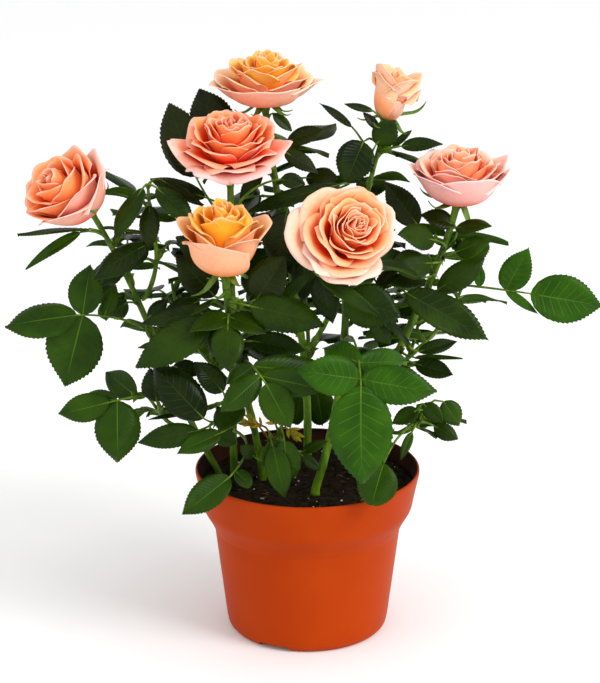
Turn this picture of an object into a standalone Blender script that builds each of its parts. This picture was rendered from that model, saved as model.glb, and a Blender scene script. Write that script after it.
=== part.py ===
"""A rose bush in flower, growing in a 12 cm nursery pot.

Seven canes rise from the soil or fork from one another.  Each ends in a bloom, and its upper part is
the stem of a mass of compound leaves.  Side shoots carry the other masses.  Metres, +Z up, the origin
at the middle of the pot's underside, -Y towards the front.
"""
import math

import bmesh
import bpy
import numpy as np
from mathutils import Matrix, Vector
from mathutils.bvhtree import BVHTree

MM = 0.001
GAP = 0.3 * MM
GOLDEN = math.radians(137.508)
UP = Vector((0, 0, 1))
FRONT = Vector((0, -0.85, 0.5)).normalized()

# ---------------------------------------------------------------- pot and soil
POT_HEIGHT = 90 * MM
RIM_RADIUS = 60 * MM
WALL = 1.5 * MM
FLOOR_TOP = 5.5 * MM
SOIL_TOP = 80 * MM
# outer side of the pot from the rim to the foot: radius, height
POT_OUTSIDE = ((60.0, 90.0), (60.2, 88.4), (57.5, 75.5), (56.4, 69.6), (55.4, 67.2), (52.2, 61.8),
               (50.0, 57.0), (43.9, 7.0), (43.0, 2.4), (40.8, 0.0))
POT_SIDES = 36
HUB_RADIUS = 12 * MM
CHANNEL_WIDTH = 20 * MM
CHANNEL_HEIGHT = 3 * MM
CHANNEL_TAPER = 0.16
CHANNEL_BEARINGS = (-115, 5, 125)
DRAIN_RADIUS = 3.5 * MM
DRAIN_FROM_AXIS = 30 * MM

# ---------------------------------------------------------------- canes
# foot on the soil or fork on another cane; heel and neck: directions of growth at foot and bloom;
# top: where the bloom begins; thick: radii at foot and neck, mm; leafy: share of the length where
# leaves begin and where the bloom's bare stalk begins.
CANES = {
    "left": dict(foot=(-48, 10), heel=(-0.47, -0.08, 0.88), top=(-113, 3, 231),
                 neck=(-0.45, -0.20, 0.85), thick=(2.3, 1.5), leafy=(0.40, 0.93)),
    "upper_left": dict(foot=(-40, 14), heel=(0.0, -0.05, 1.0), top=(-40, 1, 256),
                       neck=(0.0, -0.12, 1.0), thick=(2.5, 2.0), leafy=(0.34, 0.93)),
    "front_left": dict(foot=(-24, 4), heel=(-0.10, -0.30, 0.95), top=(-41.5, -43, 211),
                       neck=(-0.02, -0.25, 0.97), thick=(2.4, 2.1), leafy=(0.26, 0.93)),
    "centre": dict(foot=(4, -17), heel=(0.28, -0.10, 0.95), top=(16.5, -35, 224),
                   neck=(-0.12, -0.62, 0.78), thick=(2.9, 1.9), leafy=(0.40, 0.92)),
    "right": dict(foot=(30, 12), heel=(0.10, -0.04, 1.0), top=(77.5, 1, 236),
                  neck=(0.20, -0.08, 0.98), thick=(2.8, 1.9), leafy=(0.38, 0.93)),
    "top": dict(foot=(0, 32), heel=(0.03, 0.03, 1.0), top=(-22.5, 30, 281),
                neck=(-0.10, -0.08, 1.0), thick=(2.8, 1.8), leafy=(0.46, 0.94)),
    "bud": dict(fork=("top", 0.33), heel=(0.50, -0.20, 0.85), top=(42, 25, 274),
                neck=(0.30, -0.05, 0.95), thick=(1.9, 1.3), leafy=(0.34, 0.93)),
}
LIMB_SPACING = 13 * MM
# a cane leaves the soil or its parent squarely for this far before it turns
FOOT = 2.5 * MM
# side shoots: the cane and the share of its length where the shoot leaves it
SHOOTS = {
    "left_side": dict(fork=("left", 0.655), heel=(0.45, 0.25, 0.85), top=(-82, -5, 246),
                      neck=(0.0, -0.1, 1.0), thick=(1.5, 0.9)),
    "low_left": dict(fork=("left", 0.20), heel=(-0.75, -0.55, 0.45), top=(-84, -26, 140),
                     neck=(-0.5, -0.3, 0.8), thick=(1.5, 0.9)),
    "low_front_left": dict(fork=("upper_left", 0.16), heel=(-0.15, -0.85, 0.5), top=(-47, -30, 136),
                           neck=(-0.1, -0.5, 0.86), thick=(1.4, 0.9)),
    "low_front": dict(fork=("front_left", 0.16), heel=(0.6, -0.6, 0.5), top=(-13, -26, 124),
                      neck=(0.3, -0.3, 0.9), thick=(1.3, 0.8)),
    "low_right": dict(fork=("right", 0.17), heel=(0.6, -0.7, 0.35), top=(58, -22, 124),
                      neck=(0.4, -0.3, 0.86), thick=(1.4, 0.9)),
    "right_side": dict(fork=("right", 0.40), heel=(0.75, 0.45, 0.5), top=(84, 34, 182),
                       neck=(0.3, 0.1, 0.9), thick=(1.5, 0.9)),
    "back_left": dict(fork=("upper_left", 0.30), heel=(-0.6, 0.7, 0.4), top=(-74, 48, 180),
                      neck=(-0.1, 0.2, 0.97), thick=(1.6, 0.9)),
    "back": dict(fork=("top", 0.24), heel=(0.1, 0.85, 0.5), top=(-2, 74, 186),
                 neck=(0.0, 0.2, 0.97), thick=(1.6, 0.9)),
    "back_right": dict(fork=("right", 0.25), heel=(0.45, 0.8, 0.4), top=(62, 58, 158),
                       neck=(0.1, 0.2, 0.97), thick=(1.6, 0.9)),
}

# ---------------------------------------------------------------- blooms
# axis: the way the bloom faces; radius, mm; open: 0 a bud, 1 full blown; flare: how far the rim
# petals bend back, degrees; petals in all, and how many outer ones the solid has
BLOOMS = {
    "left": dict(axis=(-0.60, -0.40, 0.69), radius=26, open=0.55, flare=30, petals=26, turn=20),
    "upper_left": dict(axis=(-0.05, -0.42, 0.90), radius=32, open=0.95, flare=55, petals=34, turn=75),
    "front_left": dict(axis=(0.02, -0.25, 0.96), radius=26, open=0.50, flare=25, petals=24, turn=150),
    "centre": dict(axis=(0.10, -0.86, 0.50), radius=29.5, open=0.85, flare=50, petals=32, turn=200),
    "right": dict(axis=(0.05, -0.36, 0.93), radius=28, open=0.75, flare=45, petals=32, turn=310),
    "top": dict(axis=(0.02, -0.18, 0.98), radius=28, open=0.85, flare=50, petals=30, turn=110),
    "bud": dict(axis=(0.20, -0.10, 0.97), radius=13, open=0.05, flare=25, petals=14, turn=250),
}
RIM_PETALS = 7
RIM_LEVELS = (0.12, 0.42, 0.70, 0.86, 1.0)
BLOOM_SIDES = 18
PETAL_THICK = 1.2 * MM
HIP_RADIUS = 3.2 * MM
SEPALS = 5

# ---------------------------------------------------------------- leaves
# Leaves placed by hand, all in mm: share of the stem's length where the leaf stands, base and tip of
# its end leaflet, width of that leaflet, then pairs of side leaflets (how far behind the base they
# stand, tip and width of each) and the way the upper side faces.


def leaf(at, base, tip, wide, pairs=(), face=FRONT, count=1):
    """One compound leaf, in metres; count is the number of leaflets when no pairs are given."""
    sides = [(back * MM, [(Vector(one[:3]) * MM, one[3] * MM) for one in both if one])
             for back, *both in pairs]
    return dict(at=at, base=Vector(base) * MM, tip=Vector(tip) * MM, wide=wide * MM, sides=sides,
                face=Vector(face).normalized(), count=count)


LEAVES = {
    "centre": [
        leaf(0.35, (26, -80, 163), (26, -90, 113), 32,
             pairs=((3.5, (-4, -94, 178, 20), (63, -92, 166, 20)), (13, (53, -60, 178, 14),
             (5, -54, 184, 15))), face=(0, -0.97, 0.25)),
        leaf(0.88, (5, -54, 212), (37, -64, 194), 8, face=(-0.3, -0.6, 0.7)),
        leaf(0.72, (18, -48, 198), (46, -54, 192), 23, face=(0, -0.9, 0.4)),
        leaf(0.96, (6, -41, 210), (12, -45, 183), 14, face=(0, -0.9, 0.4)),
        leaf(0.50, (33, -30, 182), (43, -30, 168), 11),
    ],
    "front_left": [
        leaf(0.76, (-50, -48, 186), (-87, -60, 167), 21, face=(-0.2, -0.8, 0.6)),
        leaf(0.80, (-48, -40, 189), (-84, -46, 186), 13, face=(-0.1, -0.7, 0.7)),
        leaf(0.73, (-42, -42, 182), (-48, -48, 168), 15, face=(-0.2, -0.9, 0.4)),
        leaf(0.47, (-21, -68, 160), (-9, -80, 141), 17,
             pairs=((3.5, (5, -82, 167, 14), (-45, -80, 154, 14)), (13, (6, -50, 178, 15),
             (-51, -44, 163, 11))), face=(0, -0.95, 0.3)),
        leaf(0.92, (-29, -50, 195), (8, -60, 190), 20, face=(0, -0.85, 0.5)),
        leaf(0.95, (-26, -42, 196), (-12, -48, 220), 20, face=(-0.2, -0.95, 0.2)),
        leaf(0.92, (-20, -52, 191), (0, -58, 210), 7, face=(-0.2, -0.8, 0.6)),
        leaf(0.98, (-47, -44, 196), (-59, -52, 192), 4, face=(0, -0.5, 0.86)),
        leaf(0.61, (-29, -40, 173), (-4, -52, 171), 13),
    ],
    "right": [
        leaf(0.61, (115, -15, 191), (152, -20, 186), 25,
             pairs=((13, (112, -22, 216, 16), (118, -22, 183, 5)),
             (27, (88, -10, 206, 6), None)), face=(0, -0.9, 0.42)),
        leaf(0.51, (50, -30, 196), (92, -44, 176), 20, face=(0.1, -0.8, 0.6)),
        leaf(0.61, (67, -12, 192), (91, -12, 209), 14, face=(0.1, -0.8, 0.6)),
        leaf(0.86, (57, -2, 224), (40, 2, 246), 15, face=(-0.2, -0.9, 0.4)),
        leaf(0.90, (76, -10, 225), (92, -22, 231), 11, face=(0.1, -0.6, 0.8)),
        leaf(0.78, (76, -14, 213), (90, -26, 223), 12, face=(0.2, -0.8, 0.6)),
        leaf(0.83, (65, -20, 221), (47, -34, 229), 14, face=(-0.1, -0.8, 0.6)),
        leaf(0.76, (63, -24, 210), (44, -38, 214), 17, face=(-0.1, -0.9, 0.5)),
        leaf(0.67, (60, -20, 201), (41, -34, 202), 11, face=(-0.1, -0.7, 0.7)),
        leaf(0.17, (56, -8, 154), (81, -12, 156), 5, face=(0, -0.3, 1)),
        leaf(0.23, (59, 8, 152), (80, 12, 157), 8, face=(0, -0.7, 0.7)),
        leaf(0.14, (56, -18, 154), (75, -26, 151), 11, face=(0, -0.8, 0.6)),
        leaf(0.30, (62, 6, 171), (82, 10, 180), 14, face=(0, -0.8, 0.6)),
    ],
    "left": [
        leaf(0.27, (-119, -20, 181), (-156, -26, 178), 19,
             pairs=((3, (-126, -26, 144, 30), (-112, -14, 207, 18)), (15, (-96, -12, 197, 8), None))),
        leaf(0.80, (-119, -6, 222), (-149, -10, 206), 7, face=(0.2, -0.5, 0.8)),
        leaf(0.43, (-95, 6, 180), (-108, 10, 171), 12),
        leaf(0.57, (-100, 8, 202), (-119, 14, 179), 14, face=(0, -0.9, 0.3)),
    ],
    "left_side": [
        leaf(0.53, (-82, -16, 218), (-110, -30, 206), 16, face=(-0.2, -0.7, 0.7)),
        leaf(0.99, (-84, -14, 247), (-102, -24, 224), 13, face=(-0.5, -0.7, 0.5)),
        leaf(0.99, (-77, -14, 247), (-57, -24, 232), 13, face=(0.2, -0.7, 0.7)),
        leaf(0.84, (-81, -12, 236), (-82, -18, 214), 11, face=(-0.3, -0.9, 0.3)),
        leaf(0.99, (-76, 4, 247), (-53, 6, 234), 10, face=(0.1, -0.5, 0.86)),
        leaf(0.32, (-98, 4, 203), (-110, 8, 186), 11, face=(0, -0.9, 0.4)),
    ],
    "upper_left": [
        leaf(0.84, (-45, 38, 256), (-57, 44, 287), 24, face=(0, -1, 0.2)),
        leaf(0.80, (-59, 30, 242), (-74, 38, 280), 25, face=(-0.2, -1, 0.2)),
        leaf(0.88, (-54, 8, 236), (-83, 8, 246), 11, face=(0, -0.6, 0.8)),
        leaf(0.60, (-47, -10, 206), (-66, -14, 222), 14, face=(0, -0.8, 0.6)),
        leaf(0.53, (-48, -14, 189), (-66, -24, 213), 18, face=(-0.2, -0.9, 0.4)),
        leaf(0.23, (-56, -14, 187), (-77, -24, 181), 13, face=(-0.1, -0.7, 0.7)),
    ],
    "top": [
        leaf(0.99, (-11, 26, 262), (8, 22, 270), 10, face=(0, -0.8, 0.6)),
        leaf(0.88, (-12, 16, 259), (6, 10, 250), 10, face=(0, -0.6, 0.8)),
        leaf(0.77, (-24, 22, 246), (-36, 20, 233), 8, face=(0, -0.8, 0.6)),
        leaf(0.68, (-1, 20, 244), (15, 12, 247), 12, face=(0, -0.7, 0.7)),
        leaf(0.54, (17, 2, 245), (-33, -12, 236), 11, face=(0, -0.5, 0.86)),
        leaf(0.48, (-11, -6, 232), (-16, -20, 207), 21, face=(0, -0.9, 0.4)),
        leaf(0.34, (-20, 0, 230), (-35, -4, 211), 14, face=(-0.2, -0.8, 0.5)),
        leaf(0.22, (-2, 0, 210), (-1, -14, 187), 14, face=(0.1, -0.9, 0.3)),
    ],
    "bud": [
        leaf(0.77, (23, 26, 270), (7, 28, 283), 5, face=(0, -0.6, 0.8)),
        leaf(0.75, (34, 16, 264), (43, 16, 277), 14, face=(0.2, -0.9, 0.3)),
        leaf(0.94, (28, 18, 264), (17, 8, 244), 20, face=(-0.1, -0.95, 0.2)),
        leaf(0.90, (48, 18, 261), (69, 14, 264), 8,
             pairs=((5, (54, 22, 269, 4), None),), face=(0, -0.8, 0.6)),
    ],
    "low_left": [
        leaf(0.99, (-102, -36, 139), (-128, -42, 134), 15,
             pairs=((4, (-95, -56, 114, 24), (-118, -30, 140, 10)),
             (15, (-102, -14, 150, 14), None)), face=(0, -0.95, 0.3)),
        leaf(0.70, (-78, -30, 137), (-81, -34, 155), 13, face=(0, -0.9, 0.4)),
    ],
    "low_front_left": [
        leaf(0.94, (-53, -50, 135), (-79, -46, 162), 21, face=(0, -0.95, 0.3)),
        leaf(0.88, (-56, -54, 130), (-86, -60, 127), 13, face=(0, -0.8, 0.6)),
        leaf(0.60, (-44, -54, 129), (-66, -66, 123), 11, face=(0, -0.8, 0.6)),
        leaf(0.99, (-66, -36, 132), (-82, -40, 132), 3, face=(0, -0.4, 0.9)),
        leaf(0.05, (-40, -52, 104), (-64, -66, 89), 16,
             pairs=((2.5, (-28, -58, 104, 8), None),), face=(0, -0.9, 0.45)),
        leaf(0.99, (-42, -40, 146), (-55, -44, 163), 13, face=(0, -0.9, 0.4)),
    ],
    "low_front": [
        leaf(0.24, (-18, -44, 118), (-12, -56, 94), 13,
             pairs=((4, (-4, -48, 107, 7), (-22, -44, 106, 6)),), face=(0, -0.95, 0.35)),
        leaf(0.15, (-27, -40, 110), (-33, -44, 118), 8, face=(0, -0.8, 0.6)),
        leaf(0.66, (-3, -26, 108), (10, -28, 115), 6, face=(0, -0.7, 0.7)),
        leaf(0.24, (-4, -34, 110), (6, -38, 103), 6, face=(0, -0.8, 0.6)),
    ],
    "low_right": [
        leaf(0.99, (71, -18, 133), (80, -22, 121), 12, face=(0, -0.95, 0.3)),
        leaf(0.99, (66, -22, 121), (78, -28, 116), 9, face=(0, -0.9, 0.4)),
        leaf(0.99, (60, -27, 135), (70, -33, 127), 9, face=(0, -0.9, 0.4)),
        leaf(0.99, (60, -30, 134), (47, -36, 129), 9, face=(0, -0.8, 0.6)),
        leaf(0.99, (54, -34, 122), (48, -46, 112), 5, face=(0, -0.8, 0.6)),
        leaf(0.95, (43, -58, 113), (38, -70, 95), 21, face=(0, -0.97, 0.25)),
    ],
}
# Leaves laid by rule round each stem: how many, the first and last bearing (degrees, 0 is +X, 90 is
# the back), reach from the stem and end leaflet, mm
FILL = {
    "left": dict(count=4, bearings=(50, 130), reach=56, blade=30),
    "left_side": dict(count=2, bearings=(40, 110), reach=46, blade=28),
    "upper_left": dict(count=4, bearings=(50, 140), reach=56, blade=32),
    "front_left": dict(count=3, bearings=(200, 330), reach=42, blade=26),
    "centre": dict(count=4, bearings=(-70, 60), reach=50, blade=32),
    "right": dict(count=4, bearings=(50, 130), reach=56, blade=33),
    "top": dict(count=8, bearings=(30, 250), reach=50, blade=32),
    "bud": dict(count=4, bearings=(30, 130), reach=46, blade=28),
    "low_left": dict(count=1, bearings=(100, 140), reach=44, blade=28),
    "low_right": dict(count=1, bearings=(0, 30), reach=36, blade=22),
    "right_side": dict(count=5, bearings=(70, 150), reach=48, blade=31),
    "back_left": dict(count=7, bearings=(60, 150), reach=56, blade=34),
    "back": dict(count=7, bearings=(20, 160), reach=58, blade=35),
    "back_right": dict(count=7, bearings=(50, 140), reach=54, blade=34),
}
SPLAY = (62, 74)
LEAFLET_WIDTH = 0.66
LEAFLET_THICK = 0.9 * MM
TWIG_RADII = (1.0 * MM, 0.55 * MM)
KNOT = 0.9 * MM
RING_SPACING = 15 * MM
RING_BEND = math.radians(45)
PAIR_SPACING = 0.48
PAIR_SIZE = (0.88, 0.68)
# how far behind the end leaflet the first pair stands, extra splay (degrees), how far the first pair
# sinks below the end leaflet and each next pair below the last; taken in turn until no two cross
PAIR_LAYOUTS = ((0.26, 0, 0.14, 0.0), (0.26, 0, 0.20, 0.25), (0.32, 5, 0.18, 0.0), (0.26, 0, 0.36, 0.25),
                (0.38, 10, 0.14, 0.2), (0.34, 4, 0.40, 0.4), (0.46, 14, 0.10, 0.0),
                (0.50, 18, 0.30, 0.2))
# a leaf that would touch something turns by these angles in turn, bearing and rise in degrees
TURNS = ((0, 0), (7, 0), (-7, 0), (0, 7), (0, -7), (14, 5), (-14, 5), (13, -8), (-13, -8),
         (22, 0), (-22, 0), (30, 8), (-30, 8))
CLEARANCE = 0.5 * MM
SEED = 11

COLOURS = {
    "pot_plastic": (0.60, 0.13, 0.03, 0.42),
    "soil": (0.022, 0.014, 0.010, 0.95),
    "bark": (0.10, 0.17, 0.035, 0.55),
    "leaf": (0.035, 0.115, 0.018, 0.40),
    "petal": (0.85, 0.36, 0.20, 0.50),
}


# ---------------------------------------------------------------- scene and materials
def clear_scene():
    for item in list(bpy.data.objects):
        bpy.data.objects.remove(item, do_unlink=True)


def make_collection(name):
    group = bpy.data.collections.new(name)
    bpy.context.scene.collection.children.link(group)
    return group


def make_material(name):
    red, green, blue, roughness = COLOURS[name]
    material = bpy.data.materials.new(name)
    material.use_nodes = True
    shader = material.node_tree.nodes["Principled BSDF"]
    shader.inputs["Base Color"].default_value = (red, green, blue, 1)
    shader.inputs["Roughness"].default_value = roughness
    shader.inputs["Metallic"].default_value = 0
    return material


def add_object(name, data, group, material=None):
    item = bpy.data.objects.new(name, data)
    group.objects.link(item)
    if material is not None:
        item.data.materials.append(material)
    return item


def mesh_from(name, points, faces):
    mesh = bpy.data.meshes.new(name)
    mesh.from_pydata([tuple(p) for p in points], [], faces)
    mesh.update()
    return mesh


def face_outwards(mesh):
    bm = bmesh.new()
    bm.from_mesh(mesh)
    bmesh.ops.recalc_face_normals(bm, faces=bm.faces)
    bm.to_mesh(mesh)
    bm.free()
    return mesh


def baked(item):
    """The object's evaluated mesh with loose caps welded; the object itself is removed."""
    item_eval = item.evaluated_get(bpy.context.evaluated_depsgraph_get())
    mesh = bpy.data.meshes.new_from_object(item_eval)
    bm = bmesh.new()
    bm.from_mesh(mesh)
    bmesh.ops.remove_doubles(bm, verts=bm.verts, dist=0.001 * MM)
    bm.to_mesh(mesh)
    bm.free()
    bpy.data.objects.remove(item, do_unlink=True)
    return mesh


def lathed(name, profile, group, material, closed):
    """A profile of radii and heights turned round the Z axis, as one solid."""
    count = len(profile)
    mesh = mesh_from(name, [(r, 0, z) for r, z in profile], [])
    mesh.edges.add(count if closed else count - 1)
    for i, edge in enumerate(mesh.edges):
        edge.vertices = (i, (i + 1) % count)
    item = add_object(name, mesh, group, material)
    turn = item.modifiers.new("turned", "SCREW")
    turn.steps = turn.render_steps = POT_SIDES
    turn.use_merge_vertices = True
    turn.merge_threshold = 0.0001
    return add_object(name, face_outwards(baked(item)), group, material)


# ---------------------------------------------------------------- centrelines
class Path:
    """A smooth centreline, sampled finely enough to be read by length."""

    def __init__(self, points):
        self.points = [Vector(p) for p in points]
        steps = [(b - a).length for a, b in zip(self.points, self.points[1:])]
        self.marks = [0.0]
        for step in steps:
            self.marks.append(self.marks[-1] + step)
        self.length = self.marks[-1]

    def point(self, distance):
        distance = min(max(distance, 0.0), self.length)
        for i in range(1, len(self.marks)):
            if distance <= self.marks[i] or i == len(self.marks) - 1:
                span = self.marks[i] - self.marks[i - 1]
                return self.points[i - 1].lerp(self.points[i], (distance - self.marks[i - 1]) / span)

    def tangent(self, distance):
        near = max(distance - 0.5 * MM, 0.0)
        far = min(distance + 0.5 * MM, self.length)
        return (self.point(far) - self.point(near)).normalized()


def cubic(start, heel, end, neck, samples=48):
    reach = (end - start).length * 0.38
    a, b = start + heel.normalized() * reach, end - neck.normalized() * reach
    curve = []
    for i in range(samples + 1):
        t = i / samples
        s = 1 - t
        curve.append(start * s ** 3 + a * (3 * s * s * t) + b * (3 * s * t * t) + end * t ** 3)
    return curve


def cane_path(cane, parents):
    """From the soil, or from the side of another cane, to the bloom."""
    top = Vector(cane["top"]) * MM
    heel, neck = Vector(cane["heel"]), Vector(cane["neck"])
    if "foot" in cane:
        foot = Vector((cane["foot"][0] * MM, cane["foot"][1] * MM, SOIL_TOP + GAP))
        rise = foot + UP * FOOT
        return Path([foot] + cubic(rise, heel, top, neck))
    parent, share = cane["fork"]
    trunk = parents[parent]
    at = share * trunk["path"].length
    along = trunk["path"].tangent(at)
    out = (heel - along * heel.dot(along)).normalized()
    start = trunk["path"].point(at) + out * (radius_at(trunk, share) + GAP)
    bend = start + out * FOOT
    return Path([start] + cubic(bend, heel, top, neck))


def radius_at(cane, share):
    return (cane["thick"][0] + (cane["thick"][1] - cane["thick"][0]) * share) * MM


def limb(name, cane, first, last, group, material, resolution=2, flare=1.0):
    """A tapering round limb along part of a cane's centreline, as a curve with filled caps."""
    path = cane["path"]
    count = max(int(round((last - first) / LIMB_SPACING)), 1)
    marks = [first + (last - first) * i / count for i in range(count + 1)]
    if first < FOOT:
        marks.insert(1, FOOT)
    curve = bpy.data.curves.new(name, "CURVE")
    curve.dimensions = "3D"
    curve.bevel_depth = 1.0
    curve.bevel_resolution = resolution
    curve.use_fill_caps = True
    spline = curve.splines.new("POLY")
    spline.points.add(len(marks) - 1)
    for i, at in enumerate(marks):
        spline.points[i].co = (*path.point(at), 1)
        spline.points[i].radius = radius_at(cane, at / path.length) * (flare if i == 0 else 1.0)
    return add_object(name, curve, group, material)


# ---------------------------------------------------------------- petals
def petal_grid(bloom, index, across, along):
    """Points of one petal in the bloom's frame, its base at the origin and its axis on +Z.

    Every column follows a line that leaves the middle sideways, turns up and, on outer petals, bends
    back at the rim; the columns wrap round the axis, each a little further out than the last.
    """
    share = index / (bloom["petals"] - 1)
    spread = bloom["open"] * share ** 1.1
    start = math.radians(45 + 50 * share)
    middle = math.radians(-7 + 68 * spread)
    finish = math.radians(-22 + 50 * spread + bloom["flare"] * share ** 3)
    length = 0.72 + 0.40 * share
    half_width = 0.40 + 0.16 * share
    base = 0.02 + 0.10 * share
    azimuth = index * GOLDEN + math.radians(bloom["turn"])
    sway = math.sin(index * 2.7)
    grid = []
    for u in across:
        side = abs(u)
        tall = length * (1 - 0.26 * side ** 2.6 + 0.04 * max(1 - side * 4, 0) * share)
        line, radius, height, before = [], base, 0.0, 0.0
        steps = 24
        for k in range(steps + 1):
            v = k / steps
            if k:
                m = (v + before) / 2
                rise = (1 - m) * (1 - m / 0.45) * start + m / 0.45 * (1 - m) / 0.55 * middle
                rise = rise + m * (m - 0.45) / 0.55 * finish
                roll = math.radians(38) * share * bloom["open"] * side ** 2 * max(m - 0.5, 0) * 2
                angle = rise + roll
                radius += math.sin(angle) * tall / steps
                height += math.cos(angle) * tall / steps
            line.append((radius, height))
            before = v
        column = []
        for v in along:
            spot = min(v * steps, steps - 1e-6)
            low = int(spot)
            r = line[low][0] + (line[low + 1][0] - line[low][0]) * (spot - low)
            z = line[low][1] + (line[low + 1][1] - line[low][1]) * (spot - low)
            width = half_width * (0.20 + 0.80 * math.sin(min(v / 0.72, 1.0) * math.pi / 2))
            wrap = u * min(width / max(r, 0.13), 2.4)
            r += 0.020 * wrap + 0.012 * math.sin(3.1 * u + index) * v * v
            z += 0.018 * math.sin(2.3 * u + sway * 4) * v * v
            turn = azimuth + wrap
            column.append(Vector((math.cos(turn) * r, math.sin(turn) * r, z)))
        grid.append(column)
    return grid


def bloom_scale(bloom):
    """Metres for each unit of the petal rule, so that the rim petals reach the bloom's radius."""
    furthest = 0.0
    for index in range(bloom["petals"] - 5, bloom["petals"]):
        for column in petal_grid(bloom, index, (-1, -0.5, 0, 0.5, 1), (0.5, 0.75, 1)):
            furthest = max(furthest, *(math.hypot(p.x, p.y) for p in column))
    return bloom["radius"] * MM / furthest


def bloom_matrix(bloom, cane):
    axis = Vector(bloom["axis"]).normalized()
    turn = UP.rotation_difference(axis).to_matrix().to_4x4()
    return Matrix.Translation(cane["path"].points[-1]) @ turn


def rim_sections(bloom):
    """For bearings all round, the outer side of the rim petal that reaches furthest there."""
    columns = []
    for index in range(bloom["petals"] - RIM_PETALS, bloom["petals"]):
        across = [i / 6 - 1 for i in range(13)]
        for column in petal_grid(bloom, index, across, RIM_LEVELS):
            profile = [(math.hypot(p.x, p.y), p.z) for p in column]
            columns.append((math.atan2(column[-1].y, column[-1].x), profile))
    sections = []
    for step in range(BLOOM_SIDES):
        bearing = step * math.tau / BLOOM_SIDES
        near = [profile for turn, profile in columns
                if abs((turn - bearing + math.pi) % math.tau - math.pi) < math.pi / BLOOM_SIDES * 1.3]
        sections.append(max(near or [profile for turn, profile in columns], key=lambda p: p[-1][0]))
    return sections


def bloom_body(name, bloom, scale, place, group, material):
    """All petals as one body: an outer side with a scalloped lip, a groove inside it, and the heart."""
    thick = PETAL_THICK / scale
    heart = petal_grid(bloom, int(bloom["petals"] * 0.25), (0,), (1.0,))[0][0].z
    rings = []
    for step, section in enumerate(rim_sections(bloom)):
        line = list(section)
        for level in (-1, -2, -3):
            (r0, z0), (r1, z1) = section[level - 1], section[level]
            length = math.hypot(r1 - r0, z1 - z0)
            line.append((r1 - (z1 - z0) / length * thick, z1 + (r1 - r0) / length * thick))
        inner = line[-1]
        line.append((inner[0] * 0.80, max(heart, inner[1]) * 0.98))
        line.append((inner[0] * 0.40, max(heart, inner[1]) * 1.02))
        turn = step * math.tau / BLOOM_SIDES
        rings.append([Vector((math.cos(turn) * r, math.sin(turn) * r, z)) for r, z in line])
    rows = len(rings[0])
    points = [p for ring in rings for p in ring]
    faces = []
    for step in range(BLOOM_SIDES):
        here, there = step * rows, (step + 1) % BLOOM_SIDES * rows
        for row in range(rows - 1):
            faces += [(here + row, there + row, there + row + 1),
                      (here + row, there + row + 1, here + row + 1)]
    points.append(Vector((0, 0, rings[0][0].z * 0.5)))
    points.append(Vector((0, 0, max(ring[-1].z for ring in rings))))
    foot, crest = len(points) - 2, len(points) - 1
    for step in range(BLOOM_SIDES):
        here, there = step * rows, (step + 1) % BLOOM_SIDES * rows
        faces.append((foot, there, here))
        faces.append((crest, here + rows - 1, there + rows - 1))
    return add_object("flower_" + name, mesh_from(name, [place @ p for p in points], faces), group,
                      material)


def sepal(bloom, index, place, group):
    """A narrow green blade under the petals, bent back, its root in the hip."""
    azimuth = index * math.tau / SEPALS + math.radians(bloom["turn"])
    out = Vector((math.cos(azimuth), math.sin(azimuth), 0))
    side = Vector((-out.y, out.x, 0))
    bend = -0.35 if bloom["open"] > 0.2 else 0.6
    base = out * 1.0 * MM
    middle = base + out * 6.5 * MM + UP * bend * 1.5 * MM
    tip = base + out * 13 * MM + UP * bend * 9 * MM
    thick = UP * 0.45 * MM
    points = [base - side * 0.7 * MM - thick, base + side * 0.7 * MM - thick, base + thick * 1.5,
              middle - side * 1.8 * MM, middle + side * 1.8 * MM, tip, middle + thick, middle - thick]
    faces = [(0, 1, 2)[::-1], (2, 1, 6), (1, 4, 6), (0, 2, 6), (0, 6, 3), (3, 6, 5), (4, 5, 6),
             (0, 3, 7), (0, 7, 1), (1, 7, 4), (3, 5, 7), (4, 7, 5)]
    points = [place @ p for p in points]
    return add_object("sepal", face_outwards(mesh_from("sepal", points, faces)), group)


def stalk(cane, group):
    """The bare stalk under the bloom, swelling to the hip at its top."""
    path = cane["path"]
    first = cane["leafy"][1] * path.length + GAP / 2
    line = [first, (first + path.length) / 2, path.length - 3.5 * MM, path.length - 1 * MM, path.length]
    curve = bpy.data.curves.new("stalk", "CURVE")
    curve.dimensions = "3D"
    curve.bevel_depth = 1.0
    curve.bevel_resolution = 1
    curve.use_fill_caps = True
    spline = curve.splines.new("POLY")
    spline.points.add(len(line))
    for i, at in enumerate(line):
        spline.points[i].co = (*path.point(at), 1)
        spline.points[i].radius = cane["thick"][1] * MM if i < 3 else HIP_RADIUS
    axis = Vector(cane["axis"]).normalized()
    spline.points[len(line)].co = (*(path.point(path.length) + axis * 2.5 * MM), 1)
    spline.points[len(line)].radius = HIP_RADIUS
    return add_object("stalk", baked(add_object("stalk", curve, group)), group)


def build_bloom(name, bloom, cane, group, material):
    place = bloom_matrix(bloom, cane)
    scale = bloom_scale(bloom)
    sized = place @ Matrix.Diagonal((scale, scale, scale, 1))
    grafts = make_collection("grafts")
    body = bloom_body(name, bloom, scale, sized, group, material)
    for index in range(SEPALS):
        sepal(bloom, index, place, grafts)
    stalk(dict(cane, axis=bloom["axis"]), grafts)
    return joined(body, grafts)


# ---------------------------------------------------------------- joining
def islands(bm):
    left = set(bm.verts)
    while left:
        start = left.pop()
        group, queue = {start}, [start]
        while queue:
            for edge in queue.pop().link_edges:
                for vert in edge.verts:
                    if vert in left:
                        left.remove(vert)
                        group.add(vert)
                        queue.append(vert)
        yield group


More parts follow.
